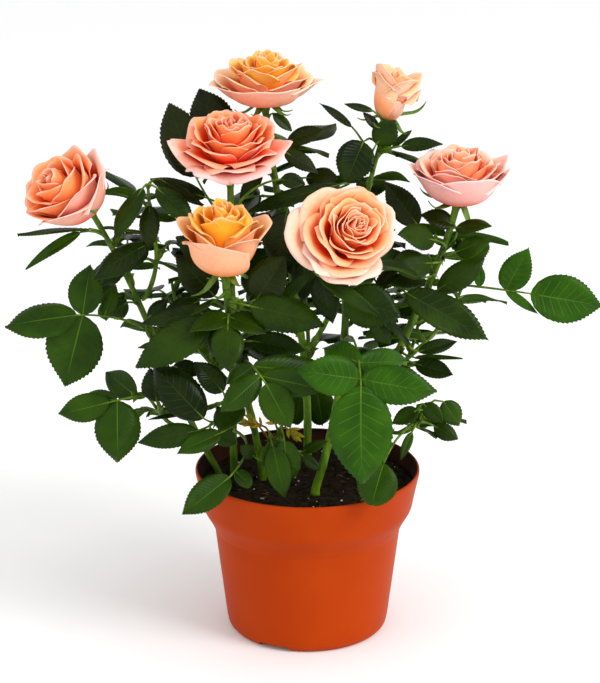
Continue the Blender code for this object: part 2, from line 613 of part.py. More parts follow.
def joined(body, grafts, solver="EXACT"):
    """One Boolean union of the body with every object in the grafts collection, applied."""
    union = body.modifiers.new("joined", "BOOLEAN")
    union.operation = "UNION"
    union.operand_type = "COLLECTION"
    union.collection = grafts
    union.solver = solver
    bpy.context.view_layer.update()
    mesh = bpy.data.meshes.new_from_object(
        body.evaluated_get(bpy.context.evaluated_depsgraph_get()))
    for item in list(grafts.objects):
        bpy.data.objects.remove(item, do_unlink=True)
    bpy.data.collections.remove(grafts)
    bm = bmesh.new()
    bm.from_mesh(mesh)
    bmesh.ops.remove_doubles(bm, verts=bm.verts, dist=0.002 * MM)
    bmesh.ops.dissolve_degenerate(bm, edges=bm.edges, dist=0.002 * MM)
    parts = sorted(islands(bm), key=len)
    scrap = [vert for part in parts[:-1] for vert in part]
    bmesh.ops.delete(bm, geom=scrap, context="VERTS")
    bmesh.ops.triangulate(bm, faces=bm.faces)
    bm.to_mesh(mesh)
    bm.free()
    old = body.data
    material = old.materials[0]
    body.modifiers.remove(union)
    body.data = mesh
    mesh.materials.clear()
    mesh.materials.append(material)
    for polygon in mesh.polygons:
        polygon.material_index = 0
    return body


# ---------------------------------------------------------------- leaves by rule
def leaf_line(start, base, tip, samples=12):
    """A leaf's midrib: a stalk that arches from the stem to the end leaflet, then that leaflet."""
    stalk, blade = base - start, tip - base
    arrive = (blade.normalized() + stalk.normalized() * 0.5).normalized()
    bend = base - arrive * stalk.length * 0.5
    line = []
    for i in range(samples + 1):
        t = i / samples
        line.append(start * (1 - t) ** 2 + bend * (2 * t * (1 - t)) + base * t * t)
    return Path(line), Path(line + [tip])


def across_of(along, face):
    """Sideways and upward directions of a leaf whose midrib runs along, turned to a given face."""
    normal = face - along * face.dot(along)
    if normal.length < 0.1:
        normal = UP - along * along.z + Vector((0, -0.01, 0))
    normal.normalize()
    return along.cross(normal), normal


def carried(side, along):
    """The same two directions carried to the next stretch of a midrib without twisting it."""
    side = (side - along * side.dot(along)).normalized()
    return side, side.cross(along)


def leaf_plan(one, start):
    """One compound leaf: its midrib, the knots where pairs stand, and every leaflet.

    A leaflet is its root, its direction, its upper side, its length and its width, the end one first.
    """
    stalk, path = leaf_line(start, one["base"], one["tip"])
    root = stalk.length
    reach = one["tip"] - one["base"]
    blade, tip_way = reach.length, reach.normalized()
    side, normal = across_of(tip_way, one["face"])
    for space, wider, sink, step in PAIR_LAYOUTS:
        plan = dict(path=path, root=root, side=side, knots=[],
                    leaflets=[(one["base"], tip_way, normal, blade, one["wide"])])
        across = side
        for pair in range((one["count"] - 1) // 2):
            at = root - blade * (space + PAIR_SPACING * pair)
            way = stalk.tangent(at)
            across, upper = carried(across, way)
            angle = math.radians(SPLAY[pair] + wider)
            if at > 5 * MM:
                plan["knots"].append(at)
                for hand in (-1, 1):
                    out = way * math.cos(angle) + across * hand * math.sin(angle)
                    out -= upper * (sink + step * pair)
                    plan["leaflets"].append(leaflet(stalk.point(at), out.normalized(), one["face"],
                                                    blade * PAIR_SIZE[pair]))
        for pair, (back, tips) in enumerate(one["sides"]):
            at = max(root - back - blade * (space - 0.26), 2 * MM)
            knot = stalk.point(at)
            across, upper = carried(across, stalk.tangent(at))
            hands = {-1: None, 1: None}
            for tip, wide in tips:
                out = tip - knot - upper * (sink - 0.14 + step * pair) * (tip - knot).length
                hand = 1 if out.dot(across) > 0 else -1
                hands[hand] = leaflet(knot, out.normalized(), one["face"], out.length, wide)
            plan["knots"].append(at)
            plan["leaflets"] += [hands[-1], hands[1]]
        plan["skin"] = leaf_skin(plan)
        if not crosses_itself(*plan["skin"]):
            return plan
    return None


def leaflet(root, out, face, length, wide=0.0):
    upper = across_of(out, face)[1]
    return (root, out, upper, length, wide or length * LEAFLET_WIDTH)


def leaflet_spots(root, along, normal, length, width, grow=0.0):
    """Left and right shoulders, left and right cheeks, tip, and the middle above and below."""
    side = along.cross(normal)
    wide = width / 2 + grow
    fold = 0.16 * wide
    sag = 0.07 * length
    thick = LEAFLET_THICK / 2 + grow
    layout = ((0.36, -1.0, fold - 0.13 * sag), (0.36, 1.0, fold - 0.13 * sag),
              (0.74, -0.72, 0.6 * fold - 0.5 * sag), (0.74, 0.72, 0.6 * fold - 0.5 * sag),
              (1.0 + grow / length, 0.0, -sag), (0.42, 0.0, thick - 0.18 * sag),
              (0.42, 0.0, -thick - 0.18 * sag))
    return [root + along * a * length + side * b * wide + normal * c for a, b, c in layout]


def leaf_skin(plan, grow=0.0):
    """A compound leaf as one closed skin: a three-sided midrib that opens out into its leaflets."""
    path, root, knots = plan["path"], plan["root"], plan["knots"]
    bare = knots[-1] - KNOT if knots else root
    bend = path.tangent(0).angle(path.tangent(root))
    count = max(int(bare / RING_SPACING), int(bend / RING_BEND), 1)
    marks = [(bare * i / count, None) for i in range(count)]
    for pair in reversed(range(len(knots))):
        marks += [(knots[pair] - KNOT, pair), (knots[pair] + KNOT, None)]
    marks.append((root, None))
    points, faces = [], []
    frames = [carried(plan["side"], path.tangent(root))]
    for at, pair in marks[-2::-1]:
        frames.insert(0, carried(frames[0][0], path.tangent(at)))
    for (at, pair), (side, normal) in zip(marks, frames):
        middle = path.point(at)
        radius = TWIG_RADII[0] + (TWIG_RADII[1] - TWIG_RADII[0]) * at / root + grow
        points += [middle - side * radius * 0.87 + normal * radius * 0.5,
                   middle + side * radius * 0.87 + normal * radius * 0.5, middle - normal * radius]
    faces.append((0, 2, 1))

    def add_leaflet(number, upper_left, upper_right, lower_left, lower_right):
        left, right, far_left, far_right, tip, top, under = range(len(points), len(points) + 7)
        points.extend(leaflet_spots(*plan["leaflets"][number], grow))
        faces.extend([(upper_left, upper_right, top), (upper_left, top, left), (upper_right, right, top),
                      (left, top, far_left), (top, right, far_right), (far_left, top, tip),
                      (top, far_right, tip), (lower_left, left, under), (lower_right, under, right),
                      (left, far_left, under), (right, under, far_right), (far_left, tip, under),
                      (tip, far_right, under), (upper_left, left, lower_left),
                      (upper_right, lower_right, right)])
        if lower_left != lower_right:
            faces.append((lower_left, under, lower_right))

    for step in range(len(marks) - 1):
        a, b, c, d, e, f = range(step * 3, step * 3 + 6)
        pair = marks[step][1]
        faces += [(a, b, e), (a, e, d)]
        if pair is not None and plan["leaflets"][1 + pair * 2]:
            add_leaflet(1 + pair * 2, a, d, c, f)
        else:
            faces += [(c, a, d), (c, d, f)]
        if pair is not None and plan["leaflets"][2 + pair * 2]:
            add_leaflet(2 + pair * 2, e, b, f, c)
        else:
            faces += [(b, c, f), (b, f, e)]
    last = (len(marks) - 1) * 3
    add_leaflet(0, last, last + 1, last + 2, last + 2)
    return points, faces


def crosses_itself(points, faces):
    tree = BVHTree.FromPolygons(points, faces)
    return any(not set(faces[i]) & set(faces[j]) for i, j in tree.overlap(tree))


def tree_of(shape):
    points, faces = shape
    return BVHTree.FromPolygons(points, faces)


def tree_of_object(item):
    item_eval = item.evaluated_get(bpy.context.evaluated_depsgraph_get())
    mesh = item_eval.to_mesh()
    points = [item.matrix_world @ v.co for v in mesh.vertices]
    faces = [tuple(p.vertices) for p in mesh.polygons]
    item_eval.to_mesh_clear()
    return BVHTree.FromPolygons(points, faces)


def turned(one, start, turn):
    """The same leaf turned about the stem by a bearing and a rise."""
    bearing, rise = math.radians(turn[0]), math.radians(turn[1])
    reach = one["tip"] - start
    axis = Vector((reach.x, reach.y, 0)).cross(UP)
    swing = Matrix.Rotation(bearing, 3, UP) @ Matrix.Rotation(rise, 3, axis)
    sides = [(back, [(start + swing @ (tip - start), wide) for tip, wide in tips])
             for back, tips in one["sides"]]
    return dict(one, base=start + swing @ (one["base"] - start), tip=start + swing @ reach,
                sides=sides)


def above_ground(plan):
    """True when no leaflet hangs below the pot's band or reaches into the pot's wall or soil."""
    for root, along, normal, length, wide in filter(None, plan["leaflets"]):
        for spot in (root, root + along * length * 0.5, root + along * length):
            out = math.hypot(spot.x, spot.y)
            if spot.z < 62 * MM:
                return False
            if spot.z < POT_HEIGHT + 1 * MM and out < RIM_RADIUS + 1.5 * MM:
                if spot.z < SOIL_TOP + 3 * MM or out > RIM_RADIUS - 4 * MM:
                    return False
    return True


def blades_of(points, faces, plan):
    """A tree of the leaflets alone, without their midrib."""
    rings = len(points) - 7 * sum(1 for one in plan["leaflets"] if one)
    return BVHTree.FromPolygons(points, [face for face in faces if max(face) >= rings])


def touches(plan, mass, obstacles):
    """True when the leaf, grown by the clearance, meets an obstacle, its own stem or another leaf.

    Stalks of one mass may meet where they leave the stem; everything else stays clear.
    """
    points, faces = leaf_skin(plan, CLEARANCE)
    whole = BVHTree.FromPolygons(points, faces)
    blades = blades_of(points, faces, plan)
    if any(whole.overlap(tree) for tree in obstacles) or blades.overlap(mass["stem_tree"]):
        return True
    return any(blades.overlap(skin) or whole.overlap(other_blades)
               for skin, other_blades in mass["leaves"])


def fill_leaves(mass, rule, random):
    """Leaves laid round a stem at golden steps between two bearings, each one arching over."""
    path = mass["path"]
    first, last = rule["bearings"]
    for number in range(rule["count"]):
        at = 0.12 + 0.84 * (number + 0.5) / rule["count"]
        fraction = (number * 0.618 + 0.3) % 1
        bearing = math.radians(first + (last - first) * fraction)
        rise = math.radians(random.uniform(0, 34))
        droop = rise - math.radians(random.uniform(15, 50))
        blade = rule["blade"] * random.uniform(0.86, 1.08)
        reach = rule["reach"] * random.uniform(0.85, 1.12) - blade
        flat = Vector((math.cos(bearing), math.sin(bearing), 0))
        start = path.point(mass["first"] + (mass["last"] - mass["first"]) * at) / MM
        base = start + (flat * math.cos(rise) + UP * math.sin(rise)) * reach
        tip = base + (flat * math.cos(droop) + UP * math.sin(droop)) * blade
        yield leaf(at, base, tip, blade * LEAFLET_WIDTH, face=UP + flat * 0.55, count=5)


def place_leaf(mass, one, obstacles):
    """Grow the leaf at the first turn that is clear of everything, with fewer leaflets if it must."""
    path = mass["path"]
    start = path.point(mass["first"] + (mass["last"] - mass["first"]) * one["at"])
    fewer = [dict(one, count=count) for count in range(one["count"], 0, -2)]
    fewer += [dict(one, sides=one["sides"][:count]) for count in range(len(one["sides"]))][::-1]
    for smaller in fewer:
        for turn in TURNS:
            plan = leaf_plan(turned(smaller, start, turn), start)
            if plan is None or not above_ground(plan) or touches(plan, mass, obstacles):
                continue
            mass["plans"].append(plan)
            mass["leaves"].append((tree_of(plan["skin"]), blades_of(*plan["skin"], plan)))
            return


def build_mass(mass, material):
    grafts = make_collection("grafts")
    for plan in mass["plans"]:
        add_object("leaf", mesh_from("leaf", *plan["skin"]), grafts)
    body = mass["stem"]
    body.data.materials.clear()
    body.data.materials.append(material)
    return joined(body, grafts)


# ---------------------------------------------------------------- pot
def inner_radius(height):
    """Radius of the pot's inner wall at a height."""
    inside = [(r * MM - WALL, z * MM) for r, z in POT_OUTSIDE]
    for (r0, z0), (r1, z1) in zip(inside, inside[1:]):
        if z0 >= height >= z1:
            return r1 + (r0 - r1) * (height - z1) / (z0 - z1)
    return inside[-1][0]


def channel(bearing, cutters):
    """Cutter for one channel under the floor, wider at its roof's foot, and the drain hole in it."""
    length = 60 * MM
    turn = Matrix.Rotation(math.radians(bearing), 4, "Z")
    place = Matrix.Translation((HUB_RADIUS + length / 2, 0, 0))
    size = Matrix.Diagonal((length, CHANNEL_WIDTH, CHANNEL_HEIGHT * 2, 1))
    bm = bmesh.new()
    bmesh.ops.create_cube(bm, size=1)
    for vert in bm.verts:
        if vert.co.z > 0:
            vert.co.y *= 1 - CHANNEL_TAPER
    bmesh.ops.transform(bm, matrix=turn @ place @ size, verts=bm.verts)
    drain = Matrix.Translation((DRAIN_FROM_AXIS, 0, FLOOR_TOP / 2 + 1 * MM))
    bmesh.ops.create_cone(bm, cap_ends=True, segments=12, radius1=DRAIN_RADIUS,
                          radius2=DRAIN_RADIUS, depth=FLOOR_TOP * 0.9, matrix=turn @ drain)
    shape = bpy.data.meshes.new("channel")
    bm.to_mesh(shape)
    bm.free()
    cutter = add_object("channel", shape, cutters)
    cutter.hide_render = True
    cutter.display_type = "WIRE"
    return cutter


def build_pot(group, cutters, material):
    outside = [(r * MM, z * MM) for r, z in POT_OUTSIDE]
    inside = [(r - WALL, z) for r, z in reversed(outside[1:-2])]
    foot = inside[0][0] - 1.2 * MM
    profile = outside + [(0.0, 0.0), (0.0, FLOOR_TOP), (foot, FLOOR_TOP)] + inside
    profile.append((RIM_RADIUS - WALL, POT_HEIGHT))
    pot = lathed("pot", profile, group, material, closed=True)
    for bearing in CHANNEL_BEARINGS:
        cut = pot.modifiers.new("channel", "BOOLEAN")
        cut.operation = "DIFFERENCE"
        cut.object = channel(bearing, cutters)
        cut.solver = "EXACT"
        cut.use_self = True
    return pot


def build_soil(group, material):
    """The potting soil: a plug that fills the pot to just under the rim."""
    low = FLOOR_TOP + GAP
    profile = [(0.0, low), (inner_radius(7.2 * MM) - 2.2 * MM, low)]
    for height in (57 * MM, 61.8 * MM, 67 * MM, SOIL_TOP - 0.6 * MM):
        profile.append((inner_radius(height) - 0.55 * MM, height))
    profile += [(profile[-1][0] - 2 * MM, SOIL_TOP), (0.0, SOIL_TOP)]
    return lathed("soil", profile, group, material, closed=False)


# ---------------------------------------------------------------- the whole bush
def main():
    clear_scene()
    group = make_collection("rose_bush")
    cutters = make_collection("cutters")
    materials = {name: make_material(name) for name in COLOURS}
    pot = build_pot(group, cutters, materials["pot_plastic"])
    soil = build_soil(group, materials["soil"])
    limbs, masses = {}, {}
    for name, cane in CANES.items():
        cane = dict(cane)
        cane["path"] = cane_path(cane, limbs)
        limbs[name] = cane
    for name, shoot in SHOOTS.items():
        shoot = dict(shoot)
        shoot["path"] = cane_path(shoot, limbs)
        masses[name] = dict(shoot, first=0.0, last=shoot["path"].length)
    boughs = []
    for name, cane in limbs.items():
        length = cane["path"].length
        first, last = (share * length for share in cane["leafy"])
        flare = 1.25 if "foot" in cane else 1.0
        boughs.append(limb("cane_" + name, cane, 0.0, first - GAP / 2, group, materials["bark"],
                           flare=flare))
        masses[name] = dict(cane, first=first + GAP / 2, last=last - GAP / 2)
    for name, mass in masses.items():
        stem = limb("stem", mass, mass["first"], mass["last"], group, None, resolution=1)
        mass["stem"] = add_object("foliage_" + name, baked(stem), group, materials["leaf"])
        mass["plans"], mass["leaves"] = [], []
    blooms = [build_bloom(name, bloom, limbs[name], group, materials["petal"])
              for name, bloom in BLOOMS.items()]
    bpy.context.view_layer.update()
    solids = [tree_of_object(item) for item in [pot, soil] + boughs + blooms]
    for mass in masses.values():
        mass["stem_tree"] = tree_of_object(mass["stem"])
    random = np.random.default_rng(SEED)
    wanted = [(name, one) for name in LEAVES for one in LEAVES[name]]
    wanted += [(name, one) for name in FILL for one in fill_leaves(masses[name], FILL[name], random)]
    for name, one in wanted:
        others = list(solids)
        for other, mass in masses.items():
            if other != name:
                others += [skin for skin, blades in mass["leaves"]] + [mass["stem_tree"]]
        place_leaf(masses[name], one, others)
    for mass in masses.values():
        build_mass(mass, materials["leaf"])


main()
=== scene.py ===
"""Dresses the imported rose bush: the looks of every cane, leaf, bloom, the pot and its soil.

The bush grows here by the same rule as its solids, from the same sizes: canes, then compound leaves
along the upper part of each cane and along side shoots, then blooms made of petals in golden turns.
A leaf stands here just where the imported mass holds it.
"""
import bisect
import itertools
import math

import bmesh
import bpy
import numpy as np
from mathutils import Matrix, Vector, noise
from mathutils.kdtree import KDTree


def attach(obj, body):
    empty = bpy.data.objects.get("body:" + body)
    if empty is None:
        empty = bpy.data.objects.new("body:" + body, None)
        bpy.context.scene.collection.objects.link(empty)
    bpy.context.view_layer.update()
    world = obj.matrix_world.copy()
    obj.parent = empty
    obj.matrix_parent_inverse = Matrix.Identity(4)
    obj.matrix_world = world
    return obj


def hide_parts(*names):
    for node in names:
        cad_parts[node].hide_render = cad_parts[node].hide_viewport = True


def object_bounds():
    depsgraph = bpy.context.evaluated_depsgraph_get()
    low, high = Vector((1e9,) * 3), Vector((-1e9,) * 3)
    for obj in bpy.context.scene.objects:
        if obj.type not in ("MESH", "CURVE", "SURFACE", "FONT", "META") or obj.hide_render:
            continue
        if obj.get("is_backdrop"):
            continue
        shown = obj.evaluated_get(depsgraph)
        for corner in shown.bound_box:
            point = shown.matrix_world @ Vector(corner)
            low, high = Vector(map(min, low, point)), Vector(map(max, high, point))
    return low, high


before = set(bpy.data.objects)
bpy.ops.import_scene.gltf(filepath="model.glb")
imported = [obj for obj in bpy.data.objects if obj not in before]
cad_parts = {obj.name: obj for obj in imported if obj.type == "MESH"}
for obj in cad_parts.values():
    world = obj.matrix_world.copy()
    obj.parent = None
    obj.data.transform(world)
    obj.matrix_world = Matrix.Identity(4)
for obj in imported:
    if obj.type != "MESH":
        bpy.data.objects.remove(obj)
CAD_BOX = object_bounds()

MM = 0.001
GAP = 0.3 * MM
GOLDEN = math.radians(137.508)
UP = Vector((0, 0, 1))
FRONT = Vector((0, -0.85, 0.5)).normalized()

# ---- pot and soil
WALL = 1.5 * MM
FLOOR_TOP = 5.5 * MM
SOIL_TOP = 80 * MM
# outer side of the pot from the rim to the foot: radius, height, mm
POT_OUTSIDE = ((60.0, 90.0), (60.2, 88.4), (57.5, 75.5), (56.4, 69.6), (55.4, 67.2), (52.2, 61.8),
               (50.0, 57.0), (43.9, 7.0), (43.0, 2.4), (40.8, 0.0))
CORNER = 1.0 * MM
POT_SIDES, SOIL_SIDES = 160, 180
HUB_RADIUS = 12 * MM
# channels under the floor: length, width and height; how much narrower they are at their roofs
CHANNEL_SIZE = (60 * MM, 20 * MM, 3 * MM)
CHANNEL_TAPER = 0.16
CHANNEL_BEARINGS = (-115, 5, 125)
DRAIN_RADIUS = 3.5 * MM
DRAIN_FROM_AXIS = 30 * MM
CRUMBS = 300


def named(keys, rows):
    """Rows of values as dicts by their keys."""
    return {name: dict(zip(keys, row)) for name, row in rows.items()}


# ---- limbs
# root: the foot on the soil, mm, or the limb it forks from and the share of that limb's length; heel
# and neck: directions of growth at the root and the end; top: where it ends, mm; thick: radii at both
# ends, mm; leafy, of a cane: shares of the length where leaves begin and the bloom's bare stalk begins
LIMB_KEYS = ("root", "heel", "top", "neck", "thick", "leafy")
CANES = named(LIMB_KEYS, {
    "left": ((-48, 10), (-0.47, -0.08, 0.88), (-113, 3, 231), (-0.45, -0.2, 0.85), (2.3, 1.5), (0.4, 0.93)),
    "upper_left": ((-40, 14), (0.0, -0.05, 1.0), (-40, 1, 256), (0.0, -0.12, 1.0), (2.5, 2.0),
        (0.34, 0.93)),
    "front_left": ((-24, 4), (-0.1, -0.3, 0.95), (-41.5, -43, 211), (-0.02, -0.25, 0.97), (2.4, 2.1),
        (0.26, 0.93)),
    "centre": ((4, -17), (0.28, -0.1, 0.95), (16.5, -35, 224), (-0.12, -0.62, 0.78), (2.9, 1.9),
        (0.4, 0.92)),
    "right": ((30, 12), (0.1, -0.04, 1.0), (77.5, 1, 236), (0.2, -0.08, 0.98), (2.8, 1.9), (0.38, 0.93)),
    "top": ((0, 32), (0.03, 0.03, 1.0), (-22.5, 30, 281), (-0.1, -0.08, 1.0), (2.8, 1.8), (0.46, 0.94)),
    "bud": (("top", 0.33), (0.5, -0.2, 0.85), (42, 25, 274), (0.3, -0.05, 0.95), (1.9, 1.3), (0.34, 0.93)),
})
SHOOTS = named(LIMB_KEYS, {
    "left_side": (("left", 0.655), (0.45, 0.25, 0.85), (-82, -5, 246), (0.0, -0.1, 1.0), (1.5, 0.9)),
    "low_left": (("left", 0.2), (-0.75, -0.55, 0.45), (-84, -26, 140), (-0.5, -0.3, 0.8), (1.5, 0.9)),
    "low_front_left": (("upper_left", 0.16), (-0.15, -0.85, 0.5), (-47, -30, 136), (-0.1, -0.5, 0.86),
        (1.4, 0.9)),
    "low_front": (("front_left", 0.16), (0.6, -0.6, 0.5), (-13, -26, 124), (0.3, -0.3, 0.9), (1.3, 0.8)),
    "low_right": (("right", 0.17), (0.6, -0.7, 0.35), (58, -22, 124), (0.4, -0.3, 0.86), (1.4, 0.9)),
    "right_side": (("right", 0.4), (0.75, 0.45, 0.5), (84, 34, 182), (0.3, 0.1, 0.9), (1.5, 0.9)),
    "back_left": (("upper_left", 0.3), (-0.6, 0.7, 0.4), (-74, 48, 180), (-0.1, 0.2, 0.97), (1.6, 0.9)),
    "back": (("top", 0.24), (0.1, 0.85, 0.5), (-2, 74, 186), (0.0, 0.2, 0.97), (1.6, 0.9)),
    "back_right": (("right", 0.25), (0.45, 0.8, 0.4), (62, 58, 158), (0.1, 0.2, 0.97), (1.6, 0.9)),
})
# a limb leaves the soil or its parent squarely for this far before it turns
FOOT = 2.5 * MM
# the bark and the twigs are slimmer than the solids by these factors
CANE_SLIM, TWIG_SLIM = 0.78, 0.88
# usual distance from one prickle to the next
PRICKLES_ON_CANE, PRICKLES_ON_TWIG = 16 * MM, 22 * MM

# ---- blooms
# the way the bloom faces, and its turn about its axis, degrees
BLOOMS = {
    "left": ((-0.6, -0.4, 0.69), 20), "upper_left": ((-0.05, -0.42, 0.9), 75),
    "front_left": ((0.02, -0.25, 0.96), 150), "centre": ((0.1, -0.86, 0.5), 200),
    "right": ((0.05, -0.36, 0.93), 310), "top": ((0.02, -0.18, 0.98), 110), "bud": ((0.2, -0.1, 0.97), 250),
}
HIP_RADIUS = 3.2 * MM
SEPALS = 5
# sRGB colours of each bloom: deep at the petals' feet, their own deeper orange made darker and richer as
# painted shade and glow between them; their inner side, their outer side, their rims
BLOOM_TINTS = {
    "left": ((1.0, 0.36, 0.1), (1.0, 0.64, 0.38), (0.99, 0.7, 0.61), (0.99, 0.86, 0.83)),
    "upper_left": ((1.0, 0.34, 0.1), (1.0, 0.65, 0.4), (0.99, 0.68, 0.63), (0.99, 0.82, 0.81)),
    "front_left": ((1.0, 0.5, 0.03), (1.0, 0.73, 0.18), (0.98, 0.69, 0.52), (0.99, 0.78, 0.66)),
    "centre": ((1.0, 0.34, 0.07), (1.0, 0.69, 0.44), (0.97, 0.77, 0.68), (0.98, 0.85, 0.8)),
    "right": ((1.0, 0.39, 0.16), (1.0, 0.7, 0.52), (0.99, 0.7, 0.66), (1.0, 0.86, 0.85)),
    "top": ((1.0, 0.52, 0.1), (1.0, 0.73, 0.27), (0.98, 0.69, 0.57), (0.99, 0.87, 0.8)),
    "bud": ((1.0, 0.64, 0.43), (1.0, 0.79, 0.6), (0.98, 0.78, 0.68), (0.98, 0.81, 0.66)),
}
# the inner petals of each bloom, laid in golden turns from the heart out: count; length and half width of
# the first and last, mm; lean of the last ones at their middle and rim, degrees; close: how far the
# heart closes over at its tip, degrees; offset from the bloom's axis, mm; axis: the way the petals face;
# drop of their rims to the sides, as a share of the length; frill; tight: how long the heart stays shut
# on the way out, 1 for not at all
HEART_KEYS = ("count", "length", "half", "lean", "close", "offset", "axis", "drop", "frill", "tight")
HEARTS = named(HEART_KEYS, {
    "left": (15, (35, 34), (9, 16), (26, 22), 20, (-2, 0), (-0.6, -0.42, 0.68), 0.18, 0.7, 1.0),
    "upper_left": (25, (27, 27), (7, 14), (42, 44), 10, (1, 0), (0.0, -0.28, 0.96), 0.1, 1.3, 1.2),
    "front_left": (18, (38, 34), (8, 13), (12, 27), 16, (-2, 0), (0.02, -0.1, 0.99), 0.1, 0.7, 1.0),
    "centre": (30, (21, 26), (5, 14), (34, 34), 6, (7, 3), (0.1, -0.82, 0.57), 0.06, 0.9, 1.6),
    "right": (20, (29, 28), (6.5, 12), (26, 16), 10, (0, 0), (0.03, -0.14, 0.99), 0.08, 0.9, 1.3),
    "top": (17, (27, 27), (8, 14), (26, 46), 8, (1, 0), (0.0, -0.04, 1.0), 0.14, 1.2, 1.0),
    "bud": (6, (27, 28), (7, 10), (6, 14), 6, (1, 0), (0.12, -0.06, 0.99), 0.2, 0.8, 1.0),
})
# the outer petals of each bloom, from the inside out: bearing round its axis (0 is right, 270 is the
# front), lean at the middle and at the rim, degrees; length and half width, mm; how far the rim rolls
# back, degrees; 0 round to 1 pointed
GUARDS = {
    "left": ((60, 30, 30, 33, 16, 60, 0.3), (200, 32, 20, 32, 16, 40, 0.6), (300, 28, 25, 33, 17, 60, 0.4),
        (130, 32, 28, 33, 17, 60, 0.5), (250, 36, 22, 32, 18, 50, 0.7), (20, 36, 40, 30, 17, 80, 0.6),
        (330, 42, 30, 31, 16, 80, 0.7)),
    "upper_left": ((95, 44, 45, 27, 16, 50, 0.6), (215, 54, 60, 26, 15, 50, 0.8),
        (320, 52, 60, 26, 15, 50, 0.8), (45, 50, 48, 28, 15, 60, 0.8), (135, 50, 50, 28, 15, 60, 0.8),
        (270, 60, 68, 27, 14, 50, 0.9), (185, 60, 60, 30, 13, 60, 1.0), (355, 60, 58, 30, 13, 60, 1.0),
        (240, 66, 84, 28, 14, 60, 0.9), (300, 66, 84, 28, 14, 60, 0.9)),
    "front_left": ((75, 16, 22, 35, 15, 50, 0.1), (195, 20, 26, 31, 14, 50, 0.1),
        (345, 18, 24, 32, 14, 50, 0.2), (120, 18, 30, 34, 15, 50, 0.1), (310, 28, 16, 30, 15, 60, 0.2),
        (155, 28, 40, 34, 16, 30, 0.1), (28, 26, 38, 34, 16, 30, 0.2), (215, 34, 26, 29, 14, 70, 0.2),
        (252, 44, -14, 33, 19, 50, 0.1)),
    "centre": ((80, 42, 42, 27, 18, 60, 0.2), (200, 42, 42, 26, 17, 60, 0.3),
        (325, 42, 42, 25, 17, 60, 0.3), (270, 46, 46, 26, 17, 80, 0.6), (140, 46, 48, 28, 19, 70, 0.3),
        (20, 46, 48, 28, 19, 80, 0.3), (186, 53, 58, 30, 20, 70, 0.4), (284, 50, 54, 29, 17, 60, 1.0),
        (240, 48, 46, 26, 16, 60, 0.8)),
    "right": ((100, 28, 30, 30, 14, 50, 0.4), (245, 32, 24, 28, 14, 50, 0.5),
        (350, 30, 24, 29, 14, 50, 0.5), (170, 32, 26, 29, 14, 50, 0.5), (70, 34, 32, 30, 17, 60, 0.3),
        (205, 38, 30, 29, 17, 50, 0.5), (330, 38, 30, 29, 17, 50, 0.5), (120, 38, 36, 30, 18, 60, 0.4),
        (20, 42, 30, 31, 18, 60, 0.7), (185, 44, 26, 31, 17, 60, 0.8), (345, 46, 24, 31, 17, 60, 0.8),
        (225, 46, 18, 33, 18, 60, 0.5), (280, 47, 6, 34, 22, 50, 0.3)),
    "top": ((350, 24, 30, 27, 15, 50, 0.4), (200, 26, 32, 26, 15, 50, 0.5), (85, 36, 36, 27, 16, 50, 0.2),
        (195, 44, 40, 27, 17, 40, 0.2), (330, 46, 40, 27, 17, 40, 0.3), (40, 52, 44, 29, 18, 50, 0.3),
        (150, 54, 40, 29, 18, 50, 0.1), (200, 62, 30, 30, 20, 50, 0.0), (350, 60, 36, 31, 19, 50, 0.2),
        (270, 64, 14, 30, 22, 40, 0.0)),
    "bud": ((120, 14, 14, 27, 13, 30, 0.6), (10, 18, 36, 27, 15, 50, 0.8), (215, 12, 2, 30, 13, 15, 1.0),
        (305, 16, 24, 26, 13, 40, 0.6), (348, 26, 58, 21, 7, 50, 1.0), (240, 24, 4, 15, 6.5, 20, 0.2),
        (290, 30, 2, 13, 6, 20, 0.2)),
}
PETAL_ROWS, PETAL_COLUMNS = 18, 21
PETAL_EDGE = 0.30 * MM
# steps along the curve that a petal follows from its foot to its rim
PETAL_STEPS = 30

# ---- stage, in metres: lamps by name, place, size and watts; the camera looks down by its pitch
FLOOR_HALF = 3.0
LAMPS = (("key", (1.3, -0.9, 1.3), 0.8, 22), ("fill", (-1.2, -0.8, 0.9), 1.0, 1.5))
LAMPS_AIM = Vector((0, 0, 0.15))
CAMERA_PLACE = (-4 * MM, -1120.3 * MM, 520.1 * MM)
CAMERA_PITCH = 17.81
CAMERA_LENS, CAMERA_SENSOR = 133.92, 36

# seeds of the random draws
FILL_SEED, CANE_SEED, FOLIAGE_SEED, PETAL_SEED, SOIL_SEED = 11, 40, 70, 100, 5

# ---- leaves
# of the side leaflets in pairs: angle from the stalk in degrees, width as a share of the length, and
# spacing and size as shares of the end leaflet's length
SPLAY = (62, 74)
LEAFLET_WIDTH = 0.66
PAIR_SPACING = 0.48
PAIR_SIZE = (0.88, 0.68)
# how far behind the end leaflet the first pair stands, extra splay (degrees), how far the first pair
# sinks below the end leaflet and each next pair below the last; taken in turn until the leaf stands
PAIR_LAYOUTS = ((0.26, 0, 0.14, 0.0), (0.26, 0, 0.20, 0.25), (0.32, 5, 0.18, 0.0), (0.26, 0, 0.36, 0.25),
                (0.38, 10, 0.14, 0.2), (0.34, 4, 0.40, 0.4), (0.46, 14, 0.10, 0.0),
                (0.50, 18, 0.30, 0.2))
# turns that a leaf may take to miss its neighbours, tried in order: bearing and rise, degrees
TURNS = ((0, 0), (7, 0), (-7, 0), (0, 7), (0, -7), (14, 5), (-14, 5), (13, -8), (-13, -8),
         (22, 0), (-22, 0), (30, 8), (-30, 8))
# how far a leaflet sags to its tip, as a share of its length
SAG = 0.07
LEAF_THICK = 0.32 * MM
TOOTH = 1.5 * MM
# small leaflets that end lower than this are blunt
BLUNT_BELOW, BLUNT_LENGTH = 112 * MM, 25 * MM
# where the points across a leaflet stand, -1 to 1; its midrib lies between the middle two
BLADE_ACROSS = np.array([-1, -0.70, -0.36, -0.025, 0.025, 0.36, 0.70, 1.0])
